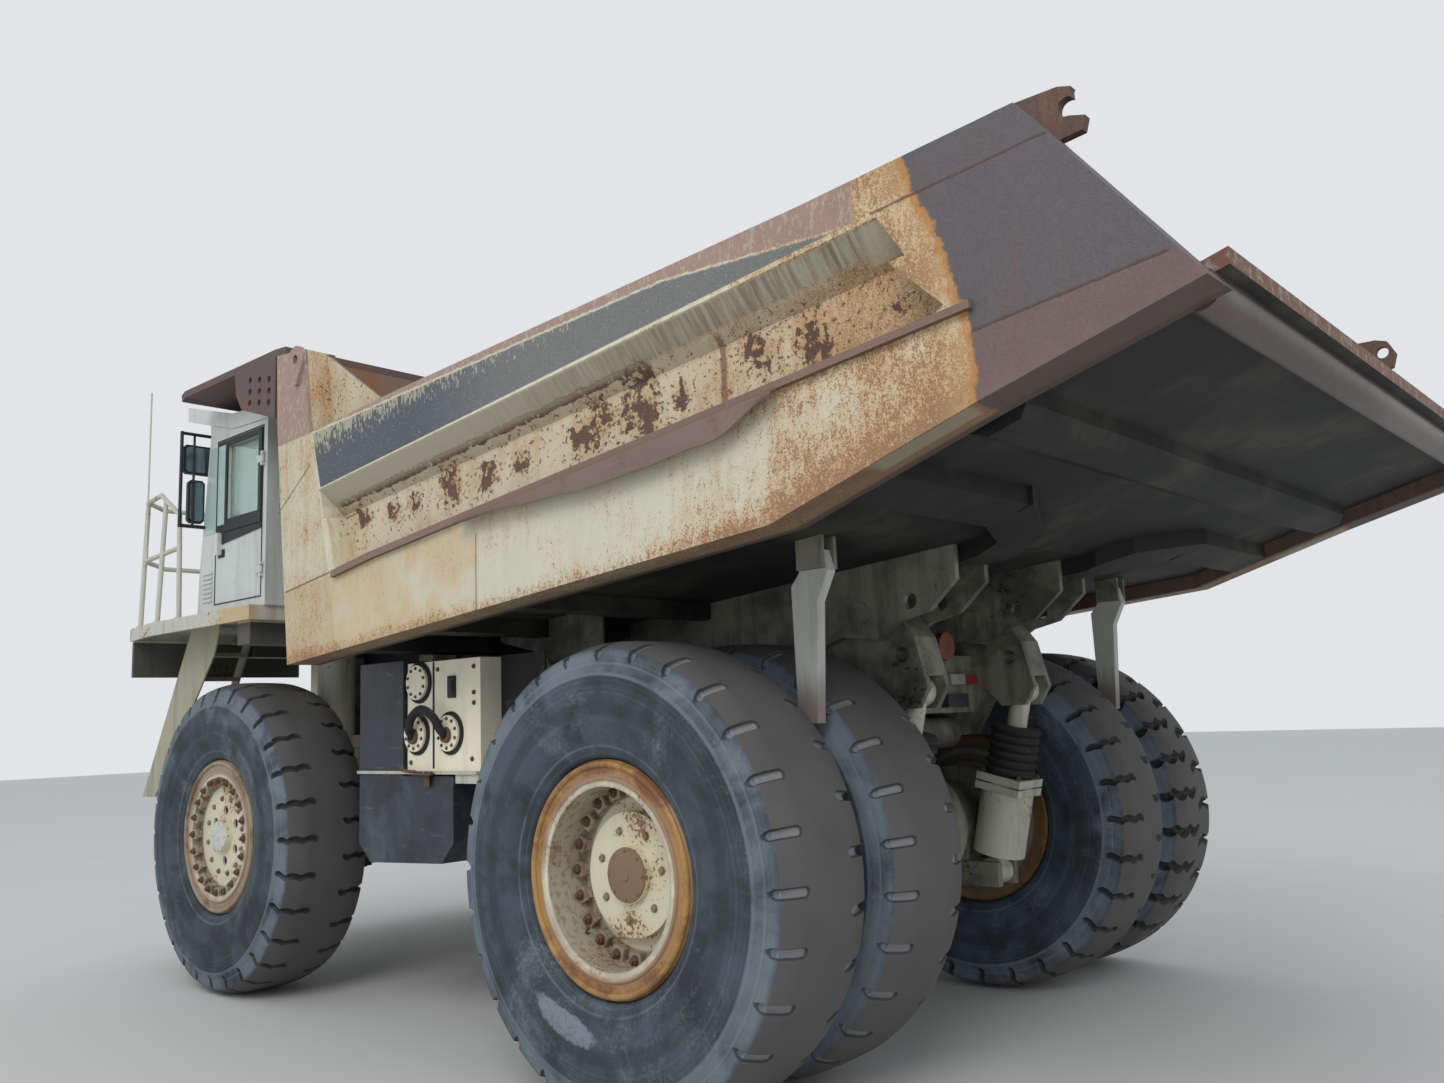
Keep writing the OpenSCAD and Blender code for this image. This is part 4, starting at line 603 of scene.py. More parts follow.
# The CAD nodes of each finish; a name that ends in an underscore has a left and a right node
NODES_BY_FINISH = {
    "frame": "frame cross_members body_lugs body_rails fuel_tank rear_axle knuckle_ ram_barrel_ "
             "hoist_barrels",
    "cream": "bumper radiator_grille hood air_cleaners", "iron": "engine_block driveline tie_rod",
    "deck": "deck", "cab": "cab_shell cab_roof cab_door", "glass": "cab_windows door_glass",
    "seat": "cab_interior cab_seat", "rail": "side_rails front_rails", "floor": "body_ribs body_floor",
    "rubber": "rear_bellows mud_flaps", "stair": "ladders", "plastic": "mirrors", "exhaust": "exhaust",
    "tank": "hydraulic_tank", "slate": "battery_box", "lamps": "lamps",
    "cream_grimy": "rear_oleos front_struts",
    "body_side": "body_sides", "front_wall": "front_wall", "canopy": "canopy", "arm": "ejector_arm_",
    "front_wheel": "front_wheel_", "rear_wheel": "rear_wheel_", "front_tyre": "front_tyre_",
    "rear_tyre": "rear_tyres_", "chrome": "ram_rod_ hoist_stages hoist_rods",
}


def finish_nodes():
    for finish, names in NODES_BY_FINISH.items():
        for name in names.split():
            for node in [name + side for side, _ in SIDES] if name.endswith("_") else [name]:
                slots = NODES[node].data.materials
                slots.clear()
                slots.append(FINISHES[finish])


finish_nodes()


# Shapes that the pieces share

def add_piece(name, shape, finish, body, sharp=math.radians(35)):
    """One object from a bmesh, with its finish, riding on a body."""
    mesh = bpy.data.meshes.new(name)
    shape.to_mesh(mesh)
    shape.free()
    mesh.materials.append(FINISHES[finish])
    mesh.shade_smooth()
    mesh.set_sharp_from_angle(angle=sharp)
    made = bpy.data.objects.new(name, mesh)
    bpy.context.collection.objects.link(made)
    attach(made, body)
    return made


def piece(name, finish, body):
    """Makes a piece at once from the function below this line, which adds its shape to a bmesh."""
    def build(add_shape):
        shape = bmesh.new()
        add_shape(shape)
        bmesh.ops.recalc_face_normals(shape, faces=shape.faces)
        return add_piece(name, shape, finish, body)
    return build


def turn_y(radius, y, angle, centre):
    """A place at a radius and angle about an axle that runs along Y."""
    return Vector((centre.x + radius * math.sin(angle), y, centre.z + radius * math.cos(angle)))


def round_angles(count, start=0.0):
    """Equal angles round a circle."""
    return [2 * math.pi * (i + start) / count for i in range(count)]


def skin_rings(target, rings, closed=True):
    """Faces between each ring of points and the next."""
    for low, high in zip(rings, rings[1:]):
        for i in range(len(low) if closed else len(low) - 1):
            k = (i + 1) % len(low)
            corners = list(dict.fromkeys((low[i], low[k], high[k], high[i])))
            if len(corners) > 2:
                target.faces.new(corners)


def cap_ends(target, rings):
    target.faces.new(list(reversed(rings[0])))
    target.faces.new(rings[-1])


def turned(target, place, axis, profile, count=16, spin=0.0):
    """A turned form: a profile of radius and height along an axis, closed where the radius is 0."""
    axis = Vector(axis).normalized()
    across = axis.orthogonal().normalized()
    other = axis.cross(across)
    rings = []
    for radius, height in profile:
        middle = Vector(place) + axis * height
        if radius == 0:
            rings.append([target.verts.new(middle)] * count)
            continue
        rings.append([target.verts.new(middle + radius * (math.cos(a) * across + math.sin(a) * other))
                      for a in (spin + angle for angle in round_angles(count))])
    skin_rings(target, rings)


def hex_bolt(target, place, axis, size, spin=0.0, stud=0.0):
    """A washer, a hexagon with a turned-down top and, if asked, the end of its stud."""
    top = size * 0.9
    washer = [(size * 1.25, 0), (size * 1.25, size * 0.12), (0, size * 0.12)]
    turned(target, place, axis, washer, 16)
    head = [(size, size * 0.1), (size, size * 0.75), (size * 0.86, top), (0, top)]
    turned(target, place, axis, head, 6, spin)
    if stud:
        turned(target, place, axis, [(size * 0.5, size * 0.8), (size * 0.5, size * 0.8 + stud),
                                     (size * 0.4, top + stud), (0, top + stud)], 10)


def bevel_edges(target, verts, offset, segments, profile):
    edges = list({edge for vert in verts for edge in vert.link_edges})
    bmesh.ops.bevel(target, geom=edges, offset=offset, segments=segments, affect="EDGES", profile=profile)


def slab(target, low, high, soften):
    """A block with softened edges between two corners, given from the rear axle."""
    low, high = at(*low), at(*high)
    verts = bmesh.ops.create_cube(target, size=1.0)["verts"]
    for vert in verts:
        vert.co = Vector([(low[i] + high[i]) / 2 + vert.co[i] * (high[i] - low[i]) for i in range(3)])
    bevel_edges(target, verts, soften, 2, 0.6)


def outline_plate(target, outline, step):
    """A plate with a corner list in space, thickened by a step."""
    step = Vector(step)
    near = [target.verts.new(Vector(corner)) for corner in outline]
    far = [target.verts.new(Vector(corner) + step) for corner in outline]
    target.faces.new(near)
    target.faces.new(list(reversed(far)))
    skin_rings(target, [far, near])


def frame_plate(target, outer, inner, step):
    """A flat ring between two outlines with as many corners, thickened by a step."""
    step = Vector(step)
    loops = [[target.verts.new(Vector(corner) + shift) for corner in outline]
             for outline, shift in ((outer, Vector()), (inner, Vector()), (inner, step), (outer, step))]
    skin_rings(target, loops + loops[:1])


def smooth_route(points, steps):
    """Places on a smooth curve through the points."""
    points = [Vector(point) for point in points]
    padded = [2 * points[0] - points[1]] + points + [2 * points[-1] - points[-2]]
    route = []
    for a, b, c, d in zip(padded, padded[1:], padded[2:], padded[3:]):
        for i in range(steps):
            t = i / steps
            route.append(0.5 * (2 * b + (c - a) * t + (2 * a - 5 * b + 4 * c - d) * t * t
                                + (3 * b - a - 3 * c + d) * t ** 3))
    return route + [points[-1]]


def pipe(target, points, radius, count, steps):
    """A tube along a smooth route."""
    route = smooth_route(points, steps)
    forward = (route[1] - route[0]).normalized()
    across = forward.orthogonal().normalized()
    rings = []
    for i, place in enumerate(route):
        forward = (route[min(i + 1, len(route) - 1)] - route[max(i - 1, 0)]).normalized()
        across = (across - across.dot(forward) * forward).normalized()
        other = forward.cross(across)
        rings.append([target.verts.new(place + radius * (math.cos(a) * across + math.sin(a) * other))
                      for a in round_angles(count)])
    skin_rings(target, rings)
    cap_ends(target, rings)


def smooth(value):
    """A soft ramp from 0 to 1."""
    value = min(1.0, max(0.0, value))
    return value * value * (3 - 2 * value)


# Tyres

PITCHES = 28
TYRE_RADIUS = 1.08
TYRE_HALF_WIDTH = 0.327
# From the tread's edge to the bead: distance from the tyre's middle, radius
TYRE_SIDE = [(0.2855, 1.033), (0.288, 1.024), (0.2925, 1.010), (0.297, 0.994), (0.301, 0.978), (0.305, 0.962),
             (0.312, 0.952), (0.314, 0.944), (0.3175, 0.938), (0.3185, 0.920), (0.3235, 0.912),
             (0.3245, 0.880), (0.3255, 0.845), (0.327, 0.800), (0.3262, 0.760), (0.3245, 0.725),
             (0.3268, 0.717), (0.3235, 0.706), (0.318, 0.670), (0.307, 0.632), (0.296, 0.598), (0.283, 0.566),
             (0.272, 0.548), (0.262, 0.541), (0.250, 0.538), (0.240, 0.530)]
TREAD_STEPS = [0.0, 0.035, 0.065, 0.085, 0.100, 0.112, 0.120, 0.128, 0.136, 0.146, 0.160, 0.180, 0.200, 0.220,
               0.240, 0.256, 0.268, 0.277, 0.283]
# Slots across a tread's shoulders: half width, depth, wall, ends from the middle along the section,
# and how far and how often they sway
BAR_SLOTS = (0.0255, 0.030, 0.013, (0.140, 0.340), 0.0, 0.2)
WAVY_SLOTS = (0.0230, 0.030, 0.015, (0.085, 0.392), 0.018, 0.22)
CHUNKY_SLOTS = (0.0330, 0.045, 0.016, (0.020, 0.385), 0.034, 0.26)
SLOT_MARGIN = 0.014
REAR_SLOTS = {"left": (BAR_SLOTS, BAR_SLOTS), "right": (CHUNKY_SLOTS, WAVY_SLOTS)}


def tread_radius(y):
    """The tread's face, almost flat in the middle and rounded down to its edges."""
    if y < 0.15:
        return TYRE_RADIUS - 0.004 * (y / 0.15) ** 2
    return 1.076 - 0.040 * ((y - 0.15) / 0.135) ** 1.6


def tyre_section():
    """The section from bead to bead: distance from the middle, radius, length along it, outward direction."""
    half = [(y, tread_radius(y)) for y in TREAD_STEPS] + TYRE_SIDE
    points = [(-y, r) for y, r in reversed(half)] + half[1:]
    middle = len(half) - 1
    section = []
    for i, (y, r) in enumerate(points):
        before, after = points[max(i - 1, 0)], points[min(i + 1, len(points) - 1)]
        along_y, along_r = after[0] - before[0], after[1] - before[1]
        size = math.hypot(along_y, along_r)
        section.append([y, r, 0.0, (-along_r / size, along_y / size)])
    for i in range(middle + 1, len(points)):
        section[i][2] = section[i - 1][2] + math.dist(points[i], points[i - 1])
        section[2 * middle - i][2] = -section[i][2]
    return section


def add_tyre(tyre, centre, facing, slots):
    """A tyre with slots cut across both shoulders, half a pitch apart, their ends rounded."""
    section = tyre_section()
    half, full_depth, wall, (inner, outer), most_sway, wave = slots
    pitch = 2 * math.pi / PITCHES
    rising = (half - wall, half - wall / 2, half, half + SLOT_MARGIN)
    marks = [-mark for mark in reversed(rising)] + list(rising)
    layers = tyre.verts.layers.float
    groove = layers.get("groove") or layers.new("groove")
    rings = []
    for k in range(PITCHES):
        for side, mark in ((side, mark) for side in (0, 1) for mark in marks):
            ring = []
            for y, radius, along, (out_y, out_r) in section:
                reach = abs(along)
                over = max(inner + half - reach, 0.0, reach - outer + half)
                width = math.sqrt(max(half * half - over * over, 0.0)) / half
                if over >= half:
                    width = min(1.0, (over - half) / 0.05)
                on_side = (along > 0) == (side == 0)
                cut = smooth((half - abs(mark)) / wall) * smooth((half - over) / wall) if on_side else 0.0
                across = mark * (max(width, 0.3) if on_side else 1.0)
                sway = most_sway * math.sin(2 * math.pi * (reach - inner) / wave)
                sway *= smooth((reach - inner + 0.03) / 0.05) * smooth((outer + 0.06 - reach) / 0.05)
                angle = (k + side * 0.5) * pitch + (across + math.copysign(sway, along)) / TYRE_RADIUS
                share = 0.65 + 0.35 * smooth((reach - inner) / (outer - inner))
                depth = cut * full_depth * share
                out = centre.y + facing * (y - out_y * depth)
                vert = tyre.verts.new(turn_y(radius - out_r * depth, out, angle, centre))
                vert[groove] = cut
                ring.append(vert)
            rings.append(ring)
    skin_rings(tyre, rings + rings[:1], closed=False)


def make_tyres():
    low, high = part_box("rear_tyres_left")
    outer_y, inner_y = high[1] - TYRE_HALF_WIDTH, low[1] + TYRE_HALF_WIDTH
    for side, sign in SIDES:
        @piece(f"front_tyre_tread_{side}", "front_tyre", f"front_wheel_set_{side}")
        def front_tyre(mesh):
            add_tyre(mesh, Vector((FRONT_X, sign * FRONT_AXLE.y, HUB_Z)), sign, WAVY_SLOTS)

        @piece(f"rear_tyre_treads_{side}", "rear_tyre", f"rear_wheel_set_{side}")
        def twin_tyres(mesh):
            outer, inner = REAR_SLOTS[side]
            add_tyre(mesh, Vector((REAR_X, sign * outer_y, HUB_Z)), sign, outer)
            add_tyre(mesh, Vector((REAR_X, sign * inner_y, HUB_Z)), -sign, inner)

        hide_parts(f"front_tyre_{side}")
        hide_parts(f"rear_tyres_{side}")


make_tyres()


# Wheels: the rims' rolled edges, wedge blocks and nuts, hub bolts, caps, valves, and black discs in the front
# discs' holes as painted shade

RIM_BEADS = ((0.512, 0.016), (0.448, 0.011))
WEDGES = 20
WEDGE_RADII = (0.356, 0.414)
WEDGE_SPREAD = 0.095
WEDGE_THICK = 0.014
WEDGE_SUNK = 0.002
NUT_CIRCLE = 0.388
DISC_HOLES = 6
DISC_HOLE_CIRCLE = 0.175
DISC_HOLE_Y = 1.988
VALVE_ANGLE = 2.35
VALVE_ROUTE = ((0.418, 2.10), (0.405, 2.15), (0.36, 2.165))
# Where each wheel's parts are: distances from the middle of the truck, and radii
WHEEL_PLACES = {
    "rear": {"axle_x": REAR_X, "rim_y": 2.277, "face_y": 2.096, "plate_y": 2.120, "bolts": 7,
             "circle": 0.205, "cap_radius": 0.130, "cap_y": 2.148},
    "front": {"axle_x": FRONT_X, "rim_y": 2.057, "face_y": 2.045, "plate_y": 2.005, "bolts": 12,
              "circle": 0.262, "cap_radius": 0.112, "cap_y": 2.047},
}


def make_wheel(axle, side, sign, axle_x, rim_y, face_y, plate_y, bolts, circle, cap_radius, cap_y):
    """The small parts of one wheel set, on its outer face."""
    out = (0, sign, 0)
    hub = Vector((axle_x, 0, HUB_Z))
    body = f"{axle}_wheel_set_{side}"

    @piece(f"{axle}_rim_edges_{side}", f"{axle}_wheel", body)
    def rim_edges(mesh):
        for radius, roll in RIM_BEADS:
            half_turn = [math.pi * k / 8 for k in range(9)]
            bead = [(radius + roll * math.cos(a), roll * math.sin(a)) for a in half_turn]
            turned(mesh, hub + Vector((0, sign * rim_y, 0)), out, bead, 96)

    @piece(f"{axle}_wedges_{side}", "wedge", body)
    def wedges(mesh):
        near, far = WEDGE_RADII
        corners = ((near, -WEDGE_SPREAD), (far, -WEDGE_SPREAD), (far, WEDGE_SPREAD), (near, WEDGE_SPREAD))
        foot_y = sign * (face_y - WEDGE_SUNK)
        for angle in round_angles(WEDGES):
            outline = [turn_y(radius, foot_y, angle + turn, hub) for radius, turn in corners]
            outline_plate(mesh, outline, (0, sign * (WEDGE_THICK + WEDGE_SUNK), 0))

    @piece(f"{axle}_wedge_nuts_{side}", "nut", body)
    def wedge_nuts(mesh):
        for angle in round_angles(WEDGES):
            place = turn_y(NUT_CIRCLE, sign * (face_y + WEDGE_THICK), angle, hub)
            hex_bolt(mesh, place, out, 0.021, angle, 0.012)

    @piece(f"{axle}_hub_bolts_{side}", "nut_cream", body)
    def hub_bolts(mesh):
        for angle in round_angles(bolts, 0.4):
            hex_bolt(mesh, turn_y(circle, sign * plate_y, angle, hub), out, 0.016, angle)

    @piece(f"{axle}_hub_cap_{side}", f"{axle}_cap", body)
    def hub_cap(mesh):
        dome = [(cap_radius - 0.004, 0), (cap_radius - 0.006, 0.008), (cap_radius - 0.030, 0.013),
                (0.030, 0.014), (0.026, 0.020), (0, 0.021)]
        turned(mesh, hub + Vector((0, sign * cap_y, 0)), out, dome, 40)
        for angle in round_angles(8):
            hex_bolt(mesh, turn_y(cap_radius - 0.020, sign * (cap_y + 0.010), angle, hub), out, 0.008, angle)


def make_wheels():
    for side, sign in SIDES:
        out = (0, sign, 0)

        # Black discs sunk in the front discs' holes: painted shade, dark as the holes' depth would be
        @piece(f"front_disc_openings_{side}", "rubber", f"front_wheel_set_{side}")
        def disc_hole_shade(mesh):
            hole = [(0.0335, -0.004), (0.0335, 0.0), (0.020, -0.008), (0, -0.010)]
            for angle in round_angles(DISC_HOLES):
                place = turn_y(DISC_HOLE_CIRCLE, sign * DISC_HOLE_Y, angle, Vector((FRONT_X, 0, HUB_Z)))
                turned(mesh, place, out, hole, 20)

        @piece(f"rear_valve_{side}", "nut", f"rear_wheel_set_{side}")
        def valve(mesh):
            hub = Vector((REAR_X, 0, HUB_Z))
            route = [turn_y(radius, sign * y, VALVE_ANGLE, hub) for radius, y in VALVE_ROUTE]
            pipe(mesh, route, 0.006, 8, 5)
            hex_bolt(mesh, route[-1], out, 0.011)

        for axle, places in WHEEL_PLACES.items():
            make_wheel(axle, side, sign, **places)


make_wheels()


# The tank's covers, gauge, elbow, ledge and bracket between the wheels

OUT = (0, 1, 0)
TANK_FACE_Y = 1.860
TANK_COVERS = [(2.110, 2.060), (2.130, 1.750), (1.790, 1.750)]
COVER_BOLT_CIRCLE = 0.086
COVER_RISE = 0.030
TANK_BOLTS = [(1.56, 2.13), (1.56, 1.98), (1.56, 1.92), (1.58, 1.60), (2.20, 1.58), (1.92, 2.13)]
ELBOW_ROUTE = [(1.790, 1.886, 1.735), (1.795, 1.925, 1.765), (1.845, 1.950, 1.850), (1.955, 1.955, 1.895),
               (2.060, 1.950, 1.850), (2.118, 1.930, 1.775), (2.130, 1.890, 1.730)]
ELBOW_FEET = [(1.790, 1.884, 1.738), (2.130, 1.884, 1.734)]
BRACKET_PIPE = [(2.080, 1.914, 1.528), (2.150, 1.916, 1.532), (2.235, 1.905, 1.540)]


@piece("tank_bracket", "nut", "chassis")
def tank_bracket(mesh):
    slab(mesh, (1.900, 1.893, 1.508), (2.080, 1.935, 1.520), 0.003)
    slab(mesh, (1.955, 1.889, 1.440), (2.010, 1.901, 1.512), 0.003)
    for x in (1.915, 1.965, 2.025, 2.062):
        hex_bolt(mesh, at(x, 1.915, 1.519), (0, 0, 1), 0.013, x * 9)
    pipe(mesh, [at(*place) for place in BRACKET_PIPE], 0.010, 8, 5)


@piece("tank_elbow", "rubber", "chassis")
def tank_elbow(mesh):
    pipe(mesh, [at(*place) for place in ELBOW_ROUTE], 0.026, 14, 8)


@piece("tank_elbow_collars", "nut", "chassis")
def tank_elbow_collars(mesh):
    for foot in ELBOW_FEET:
        turned(mesh, at(*foot), (0, 1, 0.2), [(0.046, 0), (0.046, 0.022), (0.030, 0.026)], 24)


@piece("tank_gaskets", "rubber", "chassis")
def tank_gaskets(mesh):
    for x, z in TANK_COVERS:
        turned(mesh, at(x, TANK_FACE_Y, z), OUT, [(0.128, -0.001), (0.126, 0.010), (0.104, 0.014)], 40)
    slab(mesh, (1.955, TANK_FACE_Y - 0.004, 1.545), (1.972, TANK_FACE_Y + 0.003, 2.176), 0.001)


@piece("tank_bolts", "nut", "chassis")
def tank_bolts(mesh):
    for x, z in TANK_COVERS:
        cover = at(x, 0, z)
        for angle in round_angles(10):
            place = turn_y(COVER_BOLT_CIRCLE, TANK_FACE_Y + COVER_RISE, angle, cover)
            hex_bolt(mesh, place, OUT, 0.009, angle)
    for x, z in TANK_BOLTS:
        hex_bolt(mesh, at(x, TANK_FACE_Y, z), OUT, 0.012)


@piece("tank_gauge", "plastic", "chassis")
def tank_gauge(mesh):
    slab(mesh, (1.735, TANK_FACE_Y - 0.002, 1.955), (1.800, TANK_FACE_Y + 0.020, 2.085), 0.005)
    slab(mesh, (1.744, TANK_FACE_Y + 0.018, 1.985), (1.791, TANK_FACE_Y + 0.026, 2.055), 0.003)


@piece("tank_ledge", "cream_grimy", "chassis")
def tank_ledge(mesh):
    slab(mesh, (1.50, 1.60, 1.512), (2.76, 1.895, 1.531), 0.003)
    slab(mesh, (1.50, 1.62, 1.46), (1.72, 1.88, 1.512), 0.004)


# Rear suspension: corner bolts of the cylinders' clamp flanges

OLEO_FOOT = (-0.360, 0.580, 0.800)
OLEO_HEAD = (-0.620, 0.580, 1.880)
OLEO_FLANGE = 0.590
OLEO_CORNER = 0.118


@piece("oleo_flange_bolts", "nut", "chassis")
def oleo_flange_bolts(mesh):
    for _, sign in SIDES:
        foot, head = (at(x, sign * y, z) for x, y, z in (OLEO_FOOT, OLEO_HEAD))
        axis = (head - foot).normalized()
        across = Vector((axis.z, 0, -axis.x))
        middle = foot + axis * OLEO_FLANGE
        for i in (-1, 1):
            for k in (-1, 1):
                corner = middle + across * (OLEO_CORNER * i) + Vector((0, OLEO_CORNER * k, 0))
                hex_bolt(mesh, corner, axis, 0.017, 0.4 * i, 0.010)


# The free edges of the body's bent flaps, folded down in a long ragged curve

FLAP_FRONT = (0.890, 2.863)
FLAP_REAR = (-1.240, 3.097)
FLAP_EDGE_Y = 2.4755
FLAP_EDGE_DROP = 0.047
FLAP_FOLD = 0.092
FLAP_STEPS = 48


def flap_section(sign, t):
    """A corner list across the flap's folded edge, from 0 at its front end to 1 at its rear end."""
    (x0, z0), (x1, z1) = FLAP_FRONT, FLAP_REAR
    x, z = x0 + (x1 - x0) * t, z0 + (z1 - z0) * t - FLAP_EDGE_DROP
    drop = FLAP_FOLD * smooth(t / 0.62) * smooth((1.01 - t) / 0.17)
    drop += 0.004 + 0.003 * math.sin(31 * t) * smooth(t / 0.1)
    return [at(x, sign * (FLAP_EDGE_Y - inset), z + rise)
            for inset, rise in ((0.0, 0.009), (0.002, -drop * 0.4), (0.010, -drop),
                                (0.018, -drop), (0.011, -drop * 0.4), (0.009, 0.005))]


def make_flap_edges():
    """Plates that hang from the flaps' outer edges and taper to both ends."""
    for side, sign in SIDES:
        @piece(f"flap_edge_{side}", "flap", "dump_body")
        def flap_edge(mesh):
            rings = [[mesh.verts.new(corner) for corner in flap_section(sign, i / FLAP_STEPS)]
                     for i in range(FLAP_STEPS + 1)]
            skin_rings(mesh, rings)
            cap_ends(mesh, rings)


make_flap_edges()


# Cab: black window surrounds, handle, louvres, mirror glass

DOOR_FACE_Y = 2.120
BAND_THICK = 0.009
LOUVRES = 7
# Each mirror's glass: x of its face, then its edges along Y and Z
MIRRORS = ((4.528, 2.036, 2.274, 3.731, 3.919), (4.528, 2.140, 2.236, 3.364, 3.656),
           (5.388, -2.339, -2.136, 3.776, 3.944))
MIRROR_CORNER = 0.018


def on_door(corners, lift=0.0):
    """Corners given as x and z, on the door's face or lifted off it."""
    return [at(x, DOOR_FACE_Y + lift, z) for x, z in corners]


def box_corners(x0, x1, z0, z1):
    return [(x0, z0), (x1, z0), (x1, z1), (x0, z1)]


# Plates on the door's face: finish, body, slot, corners as x and z, lift off the face and thickness
DOOR_PLATES = {
    "door_sill_band": ("plastic", "door", "trim_plastic",
                       [(3.640, 3.205), (4.325, 3.150), (4.325, 3.245), (3.640, 3.245)], 0.0, BAND_THICK),
    "door_quarter_light": ("pane", "door", "window_glass", box_corners(4.195, 4.300, 3.300, 3.890),
                           BAND_THICK, 0.003),
    "cab_quarter_light": ("pane", "chassis", "window_glass",
                          [(4.352, 3.255), (4.520, 3.255), (4.440, 3.900), (4.352, 3.900)], 0.0, 0.004),
}


def frame_on_door(mesh, outer, inner, thick):
    frame_plate(mesh, on_door(box_corners(*outer)), on_door(box_corners(*inner)), (0, thick, 0))


@piece("door_surround", "plastic", "door")
def door_surround(mesh):
    frame_on_door(mesh, (3.648, 4.322, 3.240, 3.922), (3.694, 4.166, 3.334, 3.876), BAND_THICK)


def make_door_plates():
    for name, (finish, body, slot, corners, lift, thick) in DOOR_PLATES.items():
        @piece(name, finish, body)
        def plate(mesh):
            outline_plate(mesh, on_door(corners, lift), (0, thick, 0))


make_door_plates()


@piece("door_handle", "plastic", "door")
def door_handle(mesh):
    slab(mesh, (4.190, DOOR_FACE_Y - 0.002, 3.060), (4.290, DOOR_FACE_Y + 0.006, 3.120), 0.003)


@piece("cab_louvres", "cab", "chassis")
def cab_louvres(mesh):
    for i in range(LOUVRES):
        z = 2.76 + 0.034 * i
        blade = [(0, z), (0.010, z - 0.006), (0.010, z + 0.006), (0, z + 0.020)]
        outline_plate(mesh, [at(4.375, DOOR_FACE_Y + out, height) for out, height in blade], (0.150, 0, 0))


@piece("mirror_glass", "mirror", "chassis")
def mirror_glass(mesh):
    cut = MIRROR_CORNER
    for x, y0, y1, z0, z1 in MIRRORS:
        outline = [(y0 + cut, z0), (y1 - cut, z0), (y1, z0 + cut), (y1, z1 - cut),
                   (y1 - cut, z1), (y0 + cut, z1), (y0, z1 - cut), (y0, z0 + cut)]
        outline_plate(mesh, [at(x, y, z) for y, z in outline], (-0.004, 0, 0))


@piece("door_seal", "rubber", "chassis")
def door_seal(mesh):
    frame_on_door(mesh, (3.632, 4.338, 2.722, 3.938), (3.640, 4.330, 2.730, 3.930), 0.004)


# The driver's seat: padded cushion, back and head rest

# Each pad's two corners and its lean to the rear
SEAT_PADS = [((3.752, 1.412, 2.992), (4.228, 1.888, 3.098), 0.0),
             ((3.700, 1.412, 3.120), (3.800, 1.888, 3.648), 0.09),
             ((3.700, 1.522, 3.660), (3.750, 1.778, 3.782), 0.0)]
SEAT_SWELL = 0.010
SEAT_VOXEL = 0.012
CLOTH_STEPS = 12


def seat_pads():
    """Three closed pads, slightly smaller than the seat's solid."""
    pads = bmesh.new()
    for low, high, lean in SEAT_PADS:
        low, high = at(*low), at(*high)
        verts = bmesh.ops.create_cube(pads, size=1.0)["verts"]
        for vert in verts:
            share = Vector(vert.co) + Vector((0.5, 0.5, 0.5))
            vert.co = Vector([low[i] + (high[i] - low[i]) * share[i] for i in range(3)])
            vert.co.x -= lean * (vert.co.z - low.z)
        bevel_edges(pads, verts, 0.016, 3, 0.5)
    return pads


def swell(seat):
    """Fills the pads with air by cloth simulation, each point moving no further than SEAT_SWELL."""
    rest = [vert.co.copy() for vert in seat.data.vertices]
    cloth = seat.modifiers.new("cloth", "CLOTH")
    cloth.settings.use_pressure = True
    cloth.settings.uniform_pressure_force = 4.0
    cloth.settings.effector_weights.gravity = 0.0
    for step in range(1, CLOTH_STEPS + 1):
        bpy.context.scene.frame_set(step)
    bpy.ops.object.modifier_apply(modifier="cloth")
    bpy.context.scene.frame_set(1)
    for vert, start in zip(seat.data.vertices, rest):
        moved = vert.co - start
        if moved.length > SEAT_SWELL:
            vert.co = start + moved.normalized() * SEAT_SWELL


def make_seat():
    seat = add_piece("driver_seat", seat_pads(), "seat", "chassis", math.radians(60))
    remesh = seat.modifiers.new("remesh", "REMESH")
    remesh.mode = "VOXEL"
    remesh.voxel_size = SEAT_VOXEL
    bpy.context.view_layer.objects.active = seat
    bpy.ops.object.modifier_apply(modifier="remesh")
    swell(seat)
    seat.data.shade_smooth()
    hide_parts("cab_seat")


make_seat()


# Stage, light and camera

FOCAL_PX = 1179.17
PHOTO_WIDTH_PX = 1444
SENSOR_MM = 36.0
CAMERA_YAW = math.radians(-48.10)
CAMERA_PITCH = math.radians(8.445)
CAMERA_ROLL = math.radians(-2.147)
CAMERA_PLACE = at(-4.116, 5.992, 1.7863)
FLOOR_REACH = 60.0


def add_object(name, data):
    made = bpy.data.objects.new(name, data)
    bpy.context.collection.objects.link(made)
    return made


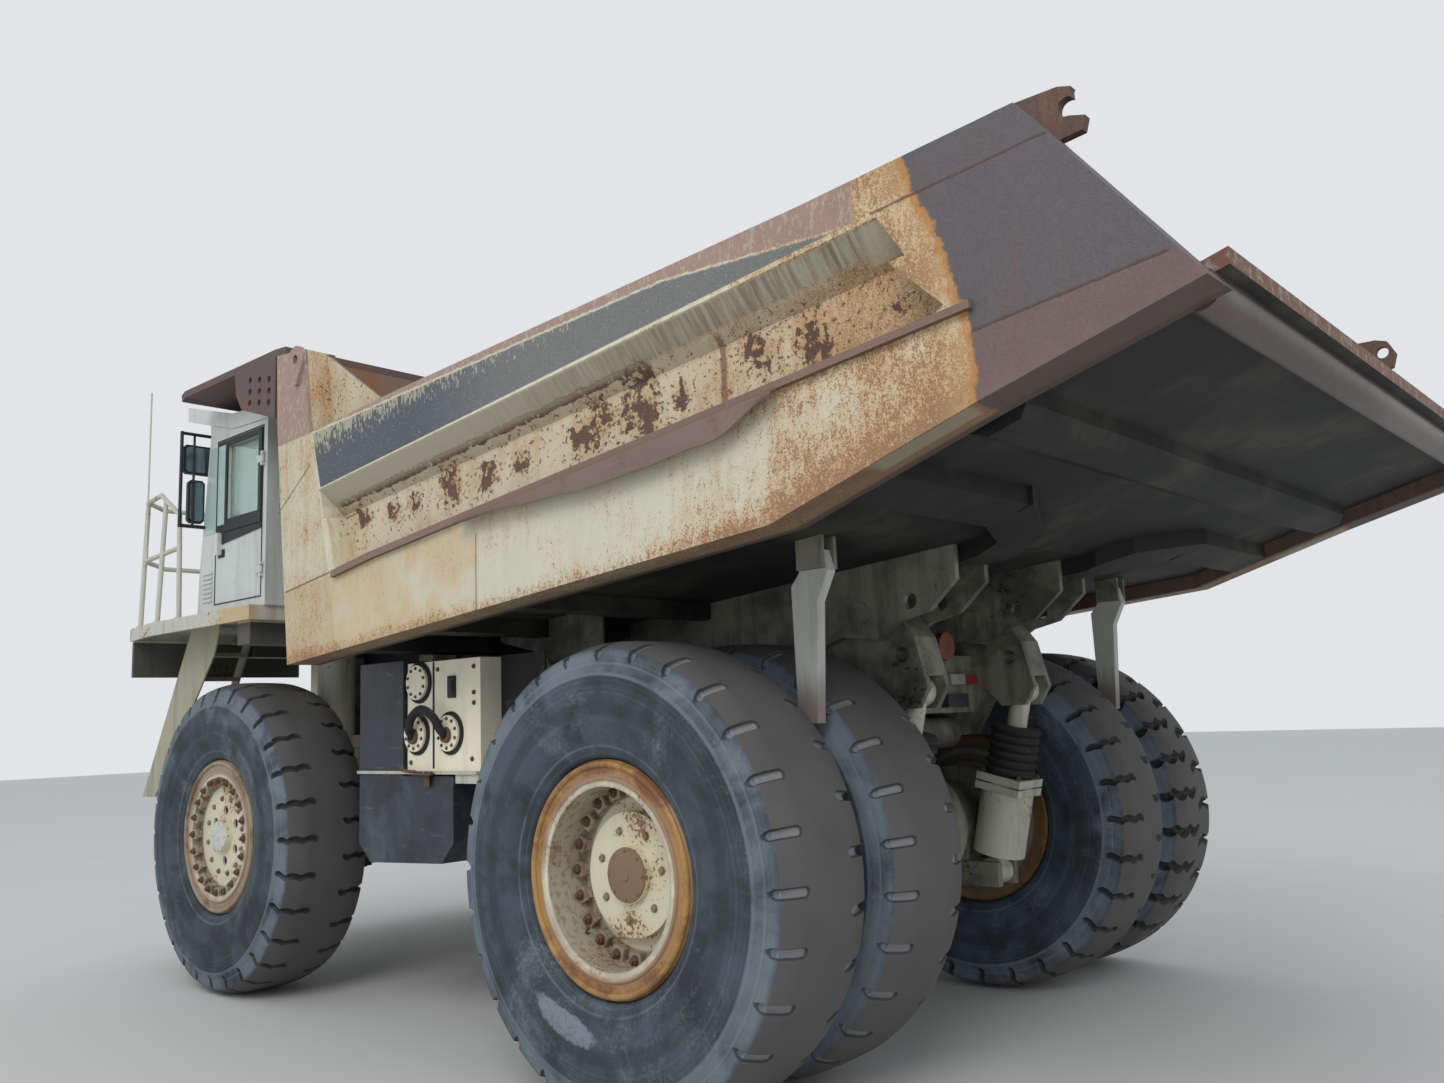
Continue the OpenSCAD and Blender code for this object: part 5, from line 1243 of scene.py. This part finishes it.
def make_camera():
    """The photograph's camera, solved from the wheels and the body's edges."""
    forward = Vector((math.cos(CAMERA_PITCH) * math.cos(CAMERA_YAW),
                      math.cos(CAMERA_PITCH) * math.sin(CAMERA_YAW), math.sin(CAMERA_PITCH)))
    level = forward.cross(Vector((0, 0, 1))).normalized()
    upright = level.cross(forward)
    right = level * math.cos(CAMERA_ROLL) + upright * math.sin(CAMERA_ROLL)
    top = -level * math.sin(CAMERA_ROLL) + upright * math.cos(CAMERA_ROLL)
    data = bpy.data.cameras.new("camera")
    data.sensor_width = SENSOR_MM
    data.lens = SENSOR_MM * FOCAL_PX / PHOTO_WIDTH_PX
    camera = add_object("camera", data)
    turn = Matrix((right, top, -forward)).transposed().to_4x4()
    camera.matrix_world = Matrix.Translation(CAMERA_PLACE) @ turn
    bpy.context.scene.camera = camera


def make_floor():
    mesh = bpy.data.meshes.new("floor")
    far = FLOOR_REACH
    mesh.from_pydata([(-far, -far, 0), (far, -far, 0), (far, far, 0), (-far, far, 0)], [], [(0, 1, 2, 3)])
    floor = add_object("floor", mesh)
    g = Graph("floor_plain")
    g.colour = g.shade(rgb(222, 220, 216), g.noise(0.8, 4), 0.06)
    mesh.materials.append(g.finish(0.9, specular=0.1))


def make_world():
    """A soft overcast dome; camera, glossy and transmitted rays see its plain pale colour."""
    world = bpy.data.worlds.new("overcast")
    bpy.context.scene.world = world
    nodes = Nodes(world)
    camera, transmission, glossy = (nodes.node("ShaderNodeLightPath", output=f"Is {ray} Ray")
                                    for ray in ("Camera", "Transmission", "Glossy"))
    light = nodes.node("ShaderNodeBackground", {"Color": (0.86, 0.93, 1.0, 1.0), "Strength": 0.70})
    seen = nodes.node("ShaderNodeBackground", {"Color": rgb(226, 229, 232), "Strength": 1.0})
    mask = camera.either(transmission).either(glossy)
    nodes.show("ShaderNodeOutputWorld", nodes.node("ShaderNodeMixShader", {0: mask, 1: light, 2: seen}))


def add_area_light(name, place, target, size, energy):
    data = bpy.data.lights.new(name, "AREA")
    data.shape = "DISK"
    data.size = size
    data.energy = energy
    lamp = add_object(name, data)
    lamp.location = place
    lamp.rotation_euler = (Vector(target) - Vector(place)).to_track_quat("-Z", "Y").to_euler()


make_camera()
make_floor()
make_world()
add_area_light("sky_left", place=(-9.0, 16.0, 15.0), target=(0, 0, 1.5), size=12.0, energy=1500.0)
bpy.context.scene.view_settings.view_transform = "Standard"

bpy.context.view_layer.update()
